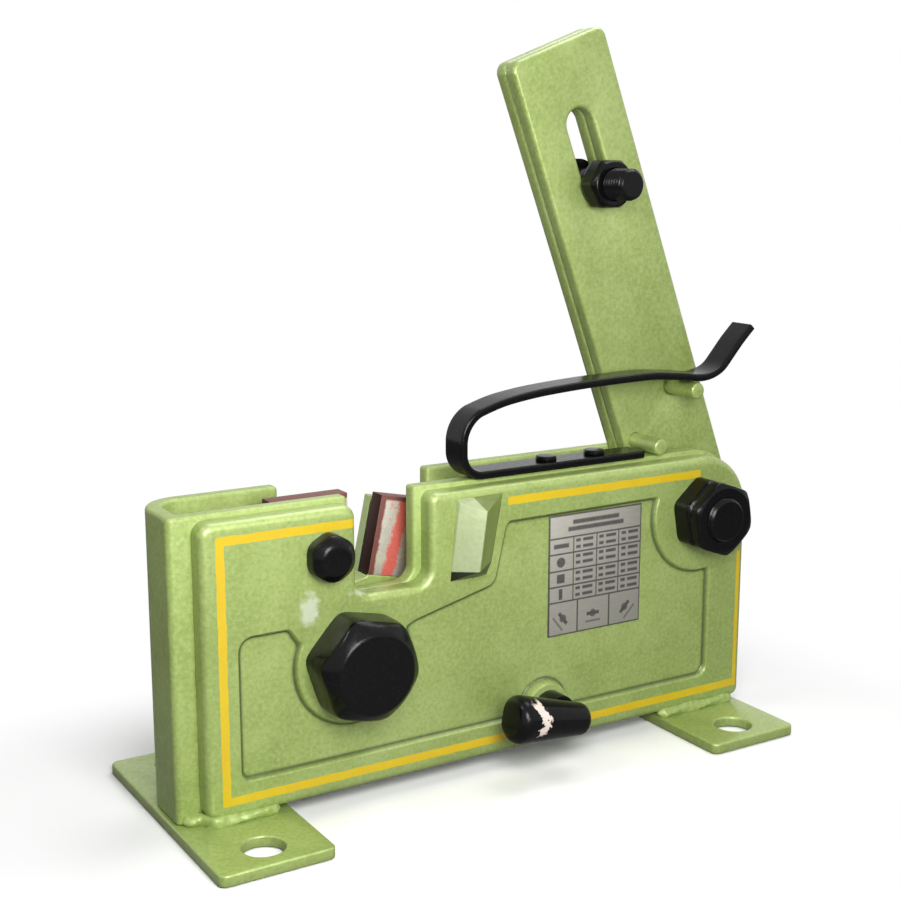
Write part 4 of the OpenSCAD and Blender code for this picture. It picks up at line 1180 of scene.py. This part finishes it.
def catch_line():
    """Middle line in x and z: base, low bend, upright, high bend, then a curve through knots."""
    reach = math.hypot(*DETENT) + DETENT_R
    past = DIP_X - LEVER_AT[0]
    dip_z = LEVER_AT[1] + math.sqrt(reach**2 - past**2) + STRIP_T / 2 + DIP_GAP
    dip = np.array([DIP_X, dip_z])
    high = np.array([BEND_X + HIGH_R, SPLIT_Z])
    way = np.radians(BEND_END)
    start = high + HIGH_R * np.array([math.cos(way), math.sin(way)])
    crest = dip + (-44, 4)
    rise = start + np.column_stack([RISE_ALONG, RISE_UP]) * (crest - start)
    tip = dip + np.column_stack([TIP_ALONG, TIP_UP])
    before = start - 5 * np.array([math.sin(way), -math.cos(way)])
    knots = np.concatenate([[before], rise, [crest + (14, -1.1), dip + (-17, 1.6)], tip])
    t = np.linspace(0, 1, 9)[:-1, None, None]
    k0, k1, k2, k3 = knots[:-3], knots[1:-2], knots[2:-1], knots[3:]
    arm = 2 * k1 + (k2 - k0) * t + (2 * k0 - 5 * k1 + 4 * k2 - k3) * t**2
    arm = 0.5 * (arm + (3 * k1 - k0 - 3 * k2 + k3) * t**3)
    arm = np.concatenate([arm.transpose(1, 0, 2).reshape(-1, 2), knots[-2:-1]])
    base = np.column_stack([np.linspace(BASE_END, BEND_X + LOW_R + 3, 30), np.full(30, BASE_Z)])
    low_bend = arc((BEND_X + LOW_R, BASE_Z + LOW_R), LOW_R, 270, 180, 20)
    high_bend = arc(high, HIGH_R, 180, BEND_END, 20)[:-1]
    return np.concatenate([base, low_bend, high_bend, arm])


def strip_section(ease):
    """Rounded rectangle across the strip: offsets along y and along the strip's normal."""
    corners = [(-STRIP_W / 2, -STRIP_T / 2, ease), (STRIP_W / 2, -STRIP_T / 2, ease)]
    corners += [(STRIP_W / 2, STRIP_T / 2, ease), (-STRIP_W / 2, STRIP_T / 2, ease)]
    return rounded_outline(corners, 2.5)


def sweep_strip():
    """Section point = line point + y offset + normal offset; the ends are drawn in and capped."""
    line = catch_line()
    run = np.gradient(line, axis=0)
    run /= np.linalg.norm(run, axis=1)[:, None]
    normal = np.column_stack([-run[:, 1], run[:, 0]])
    section = strip_section(STRIP_EASE)
    line = np.concatenate([line[:1], line, line[-1:]])
    normal = np.concatenate([normal[:1], normal, normal[-1:]])
    shrink = np.ones(len(line))
    shrink[[0, -1]] = END_SHARE
    off = section[None, :, :] * shrink[:, None, None]
    points = np.empty((len(line), len(section), 3))
    points[..., 0] = line[:, None, 0] + normal[:, None, 0] * off[..., 1]
    points[..., 2] = line[:, None, 1] + normal[:, None, 1] * off[..., 1]
    points[..., 1] = STRIP_Y + off[..., 0]
    rows, cols = points.shape[:2]
    faces = grid_faces(rows, cols, close_cols=True).tolist()
    faces.append(list(range(cols))[::-1])
    faces.append(list(range((rows - 1) * cols, rows * cols)))
    return points.reshape(-1, 3), faces


strip_points, strip_faces = sweep_strip()
catch_piece = make_piece(
    "catch_strip", strip_points, strip_faces, black,
    None, ["catch_base", "catch_arm"],
)
shade_softly(catch_piece)
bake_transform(catch_piece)

# %% [markdown]
# ## Stage and light
# A pale floor and a white surround. The light is soft and comes from in front, so the
# closed left end stays in shade as it does on a studio table.

# %% Stage
FLOOR_TONE, FLOOR_WHITE = (0.30, 0.30, 0.30), (0.93, 0.93, 0.93)
FLOOR_HALF, FLOOR_Z = 4.0, -0.0004
HALF_LENGTH, HALF_DEPTH = 215.0, 80.0
FADE_SEEN, FADE_MIRRORED = (75.0, 150.0), (2000.0, 1500.0)
SURROUND = 0.11
LAMPS = {
    "key": ((-0.22, -0.54, 0.44), (-0.03, 0.0, 0.14), (0.30, 0.25), 4.4),
    "soft": ((-0.20, -1.02, 0.42), (0.0, 0.0, 0.18), (0.60, 0.24), 4.2),
    "glint": ((-0.66, 0.02, 0.90), (-0.09, 0.0, 0.10), (0.12, 0.12), 1.1),
    "top": ((0.48, 0.12, 1.25), (0.14, 0.0, 0.1), (0.9, 0.7), 8.5),
}


def floor_finish():
    """Pale floor that fades to the white of the background away from the object."""
    f = Finish("floor_pale", Roughness=0.9, Specular_IOR_Level=0.1)
    x, y, z = f.parts(f.spot())
    side = ((x - float(ORIGIN[0])).maths("ABSOLUTE") - HALF_LENGTH).maths("MAXIMUM", 0.0)
    deep = ((y - float(ORIGIN[1])).maths("ABSOLUTE") - HALF_DEPTH).maths("MAXIMUM", 0.0)
    away = (side * side + deep * deep).maths("SQRT")
    ray = f.tree.nodes.new("ShaderNodeLightPath")
    seen = Value(f, ray.outputs["Is Camera Ray"])
    glossy = Value(f, ray.outputs["Is Glossy Ray"])
    white = f.node("ShaderNodeEmission", {}, {"Color": (1, 1, 1, 1), "Strength": 1.0})
    share = away.above(*FADE_SEEN) * seen + away.above(*FADE_MIRRORED) * glossy
    f.give("Base Color", f.mix(seen, FLOOR_TONE, FLOOR_WHITE))
    blend = f.tree.nodes.new("ShaderNodeMixShader")
    out = f.tree.nodes["Material Output"]
    f.tree.links.new(share.socket, blend.inputs[0])
    f.tree.links.new(f.shader.outputs[0], blend.inputs[1])
    f.tree.links.new(white.socket, blend.inputs[2])
    f.tree.links.new(blend.outputs[0], out.inputs[0])
    return f.material


def make_floor():
    """A square sheet at the height the feet stand on."""
    signs = ((-1, -1), (1, -1), (1, 1), (-1, 1))
    corners = [(a * FLOOR_HALF, b * FLOOR_HALF, FLOOR_Z) for a, b in signs]
    mesh = bpy.data.meshes.new("floor")
    mesh.from_pydata(corners, [], [(0, 1, 2, 3)])
    floor = bpy.data.objects.new("floor", mesh)
    bpy.context.scene.collection.objects.link(floor)
    dress(floor, floor_finish())


def make_world(light):
    """A white surround for the camera and reflections, and a soft grey light for the rest."""
    world = bpy.data.worlds.new("surround")
    bpy.context.scene.world = world
    world.use_nodes = True
    tree = world.node_tree
    sky = tree.nodes["Background"]
    sky.inputs["Color"].default_value = (1, 1, 1, 1)
    ray = tree.nodes.new("ShaderNodeLightPath")
    pick = tree.nodes.new("ShaderNodeMapRange")
    pick.inputs["To Min"].default_value = light
    pick.inputs["To Max"].default_value = 1.0
    seen = tree.nodes.new("ShaderNodeMath")
    seen.operation = "MAXIMUM"
    tree.links.new(ray.outputs["Is Camera Ray"], seen.inputs[0])
    tree.links.new(ray.outputs["Is Glossy Ray"], seen.inputs[1])
    through = tree.nodes.new("ShaderNodeMath")
    through.operation = "MAXIMUM"
    tree.links.new(seen.outputs[0], through.inputs[0])
    tree.links.new(ray.outputs["Is Transmission Ray"], through.inputs[1])
    tree.links.new(through.outputs[0], pick.inputs["Value"])
    tree.links.new(pick.outputs[0], sky.inputs["Strength"])


def lamp(name, at, aim, size, power):
    """A rectangular area lamp that points from one place to another."""
    data = bpy.data.lights.new(name, "AREA")
    data.shape = "RECTANGLE"
    data.size, data.size_y = size
    data.energy = power
    obj = bpy.data.objects.new(name, data)
    obj.location = at
    obj.rotation_mode = "QUATERNION"
    obj.rotation_quaternion = (Vector(aim) - Vector(at)).to_track_quat("-Z", "Y")
    bpy.context.scene.collection.objects.link(obj)


make_floor()
make_world(SURROUND)
for lamp_name, settings in LAMPS.items():
    lamp(lamp_name, *settings)
bpy.context.scene.view_settings.view_transform = "Standard"
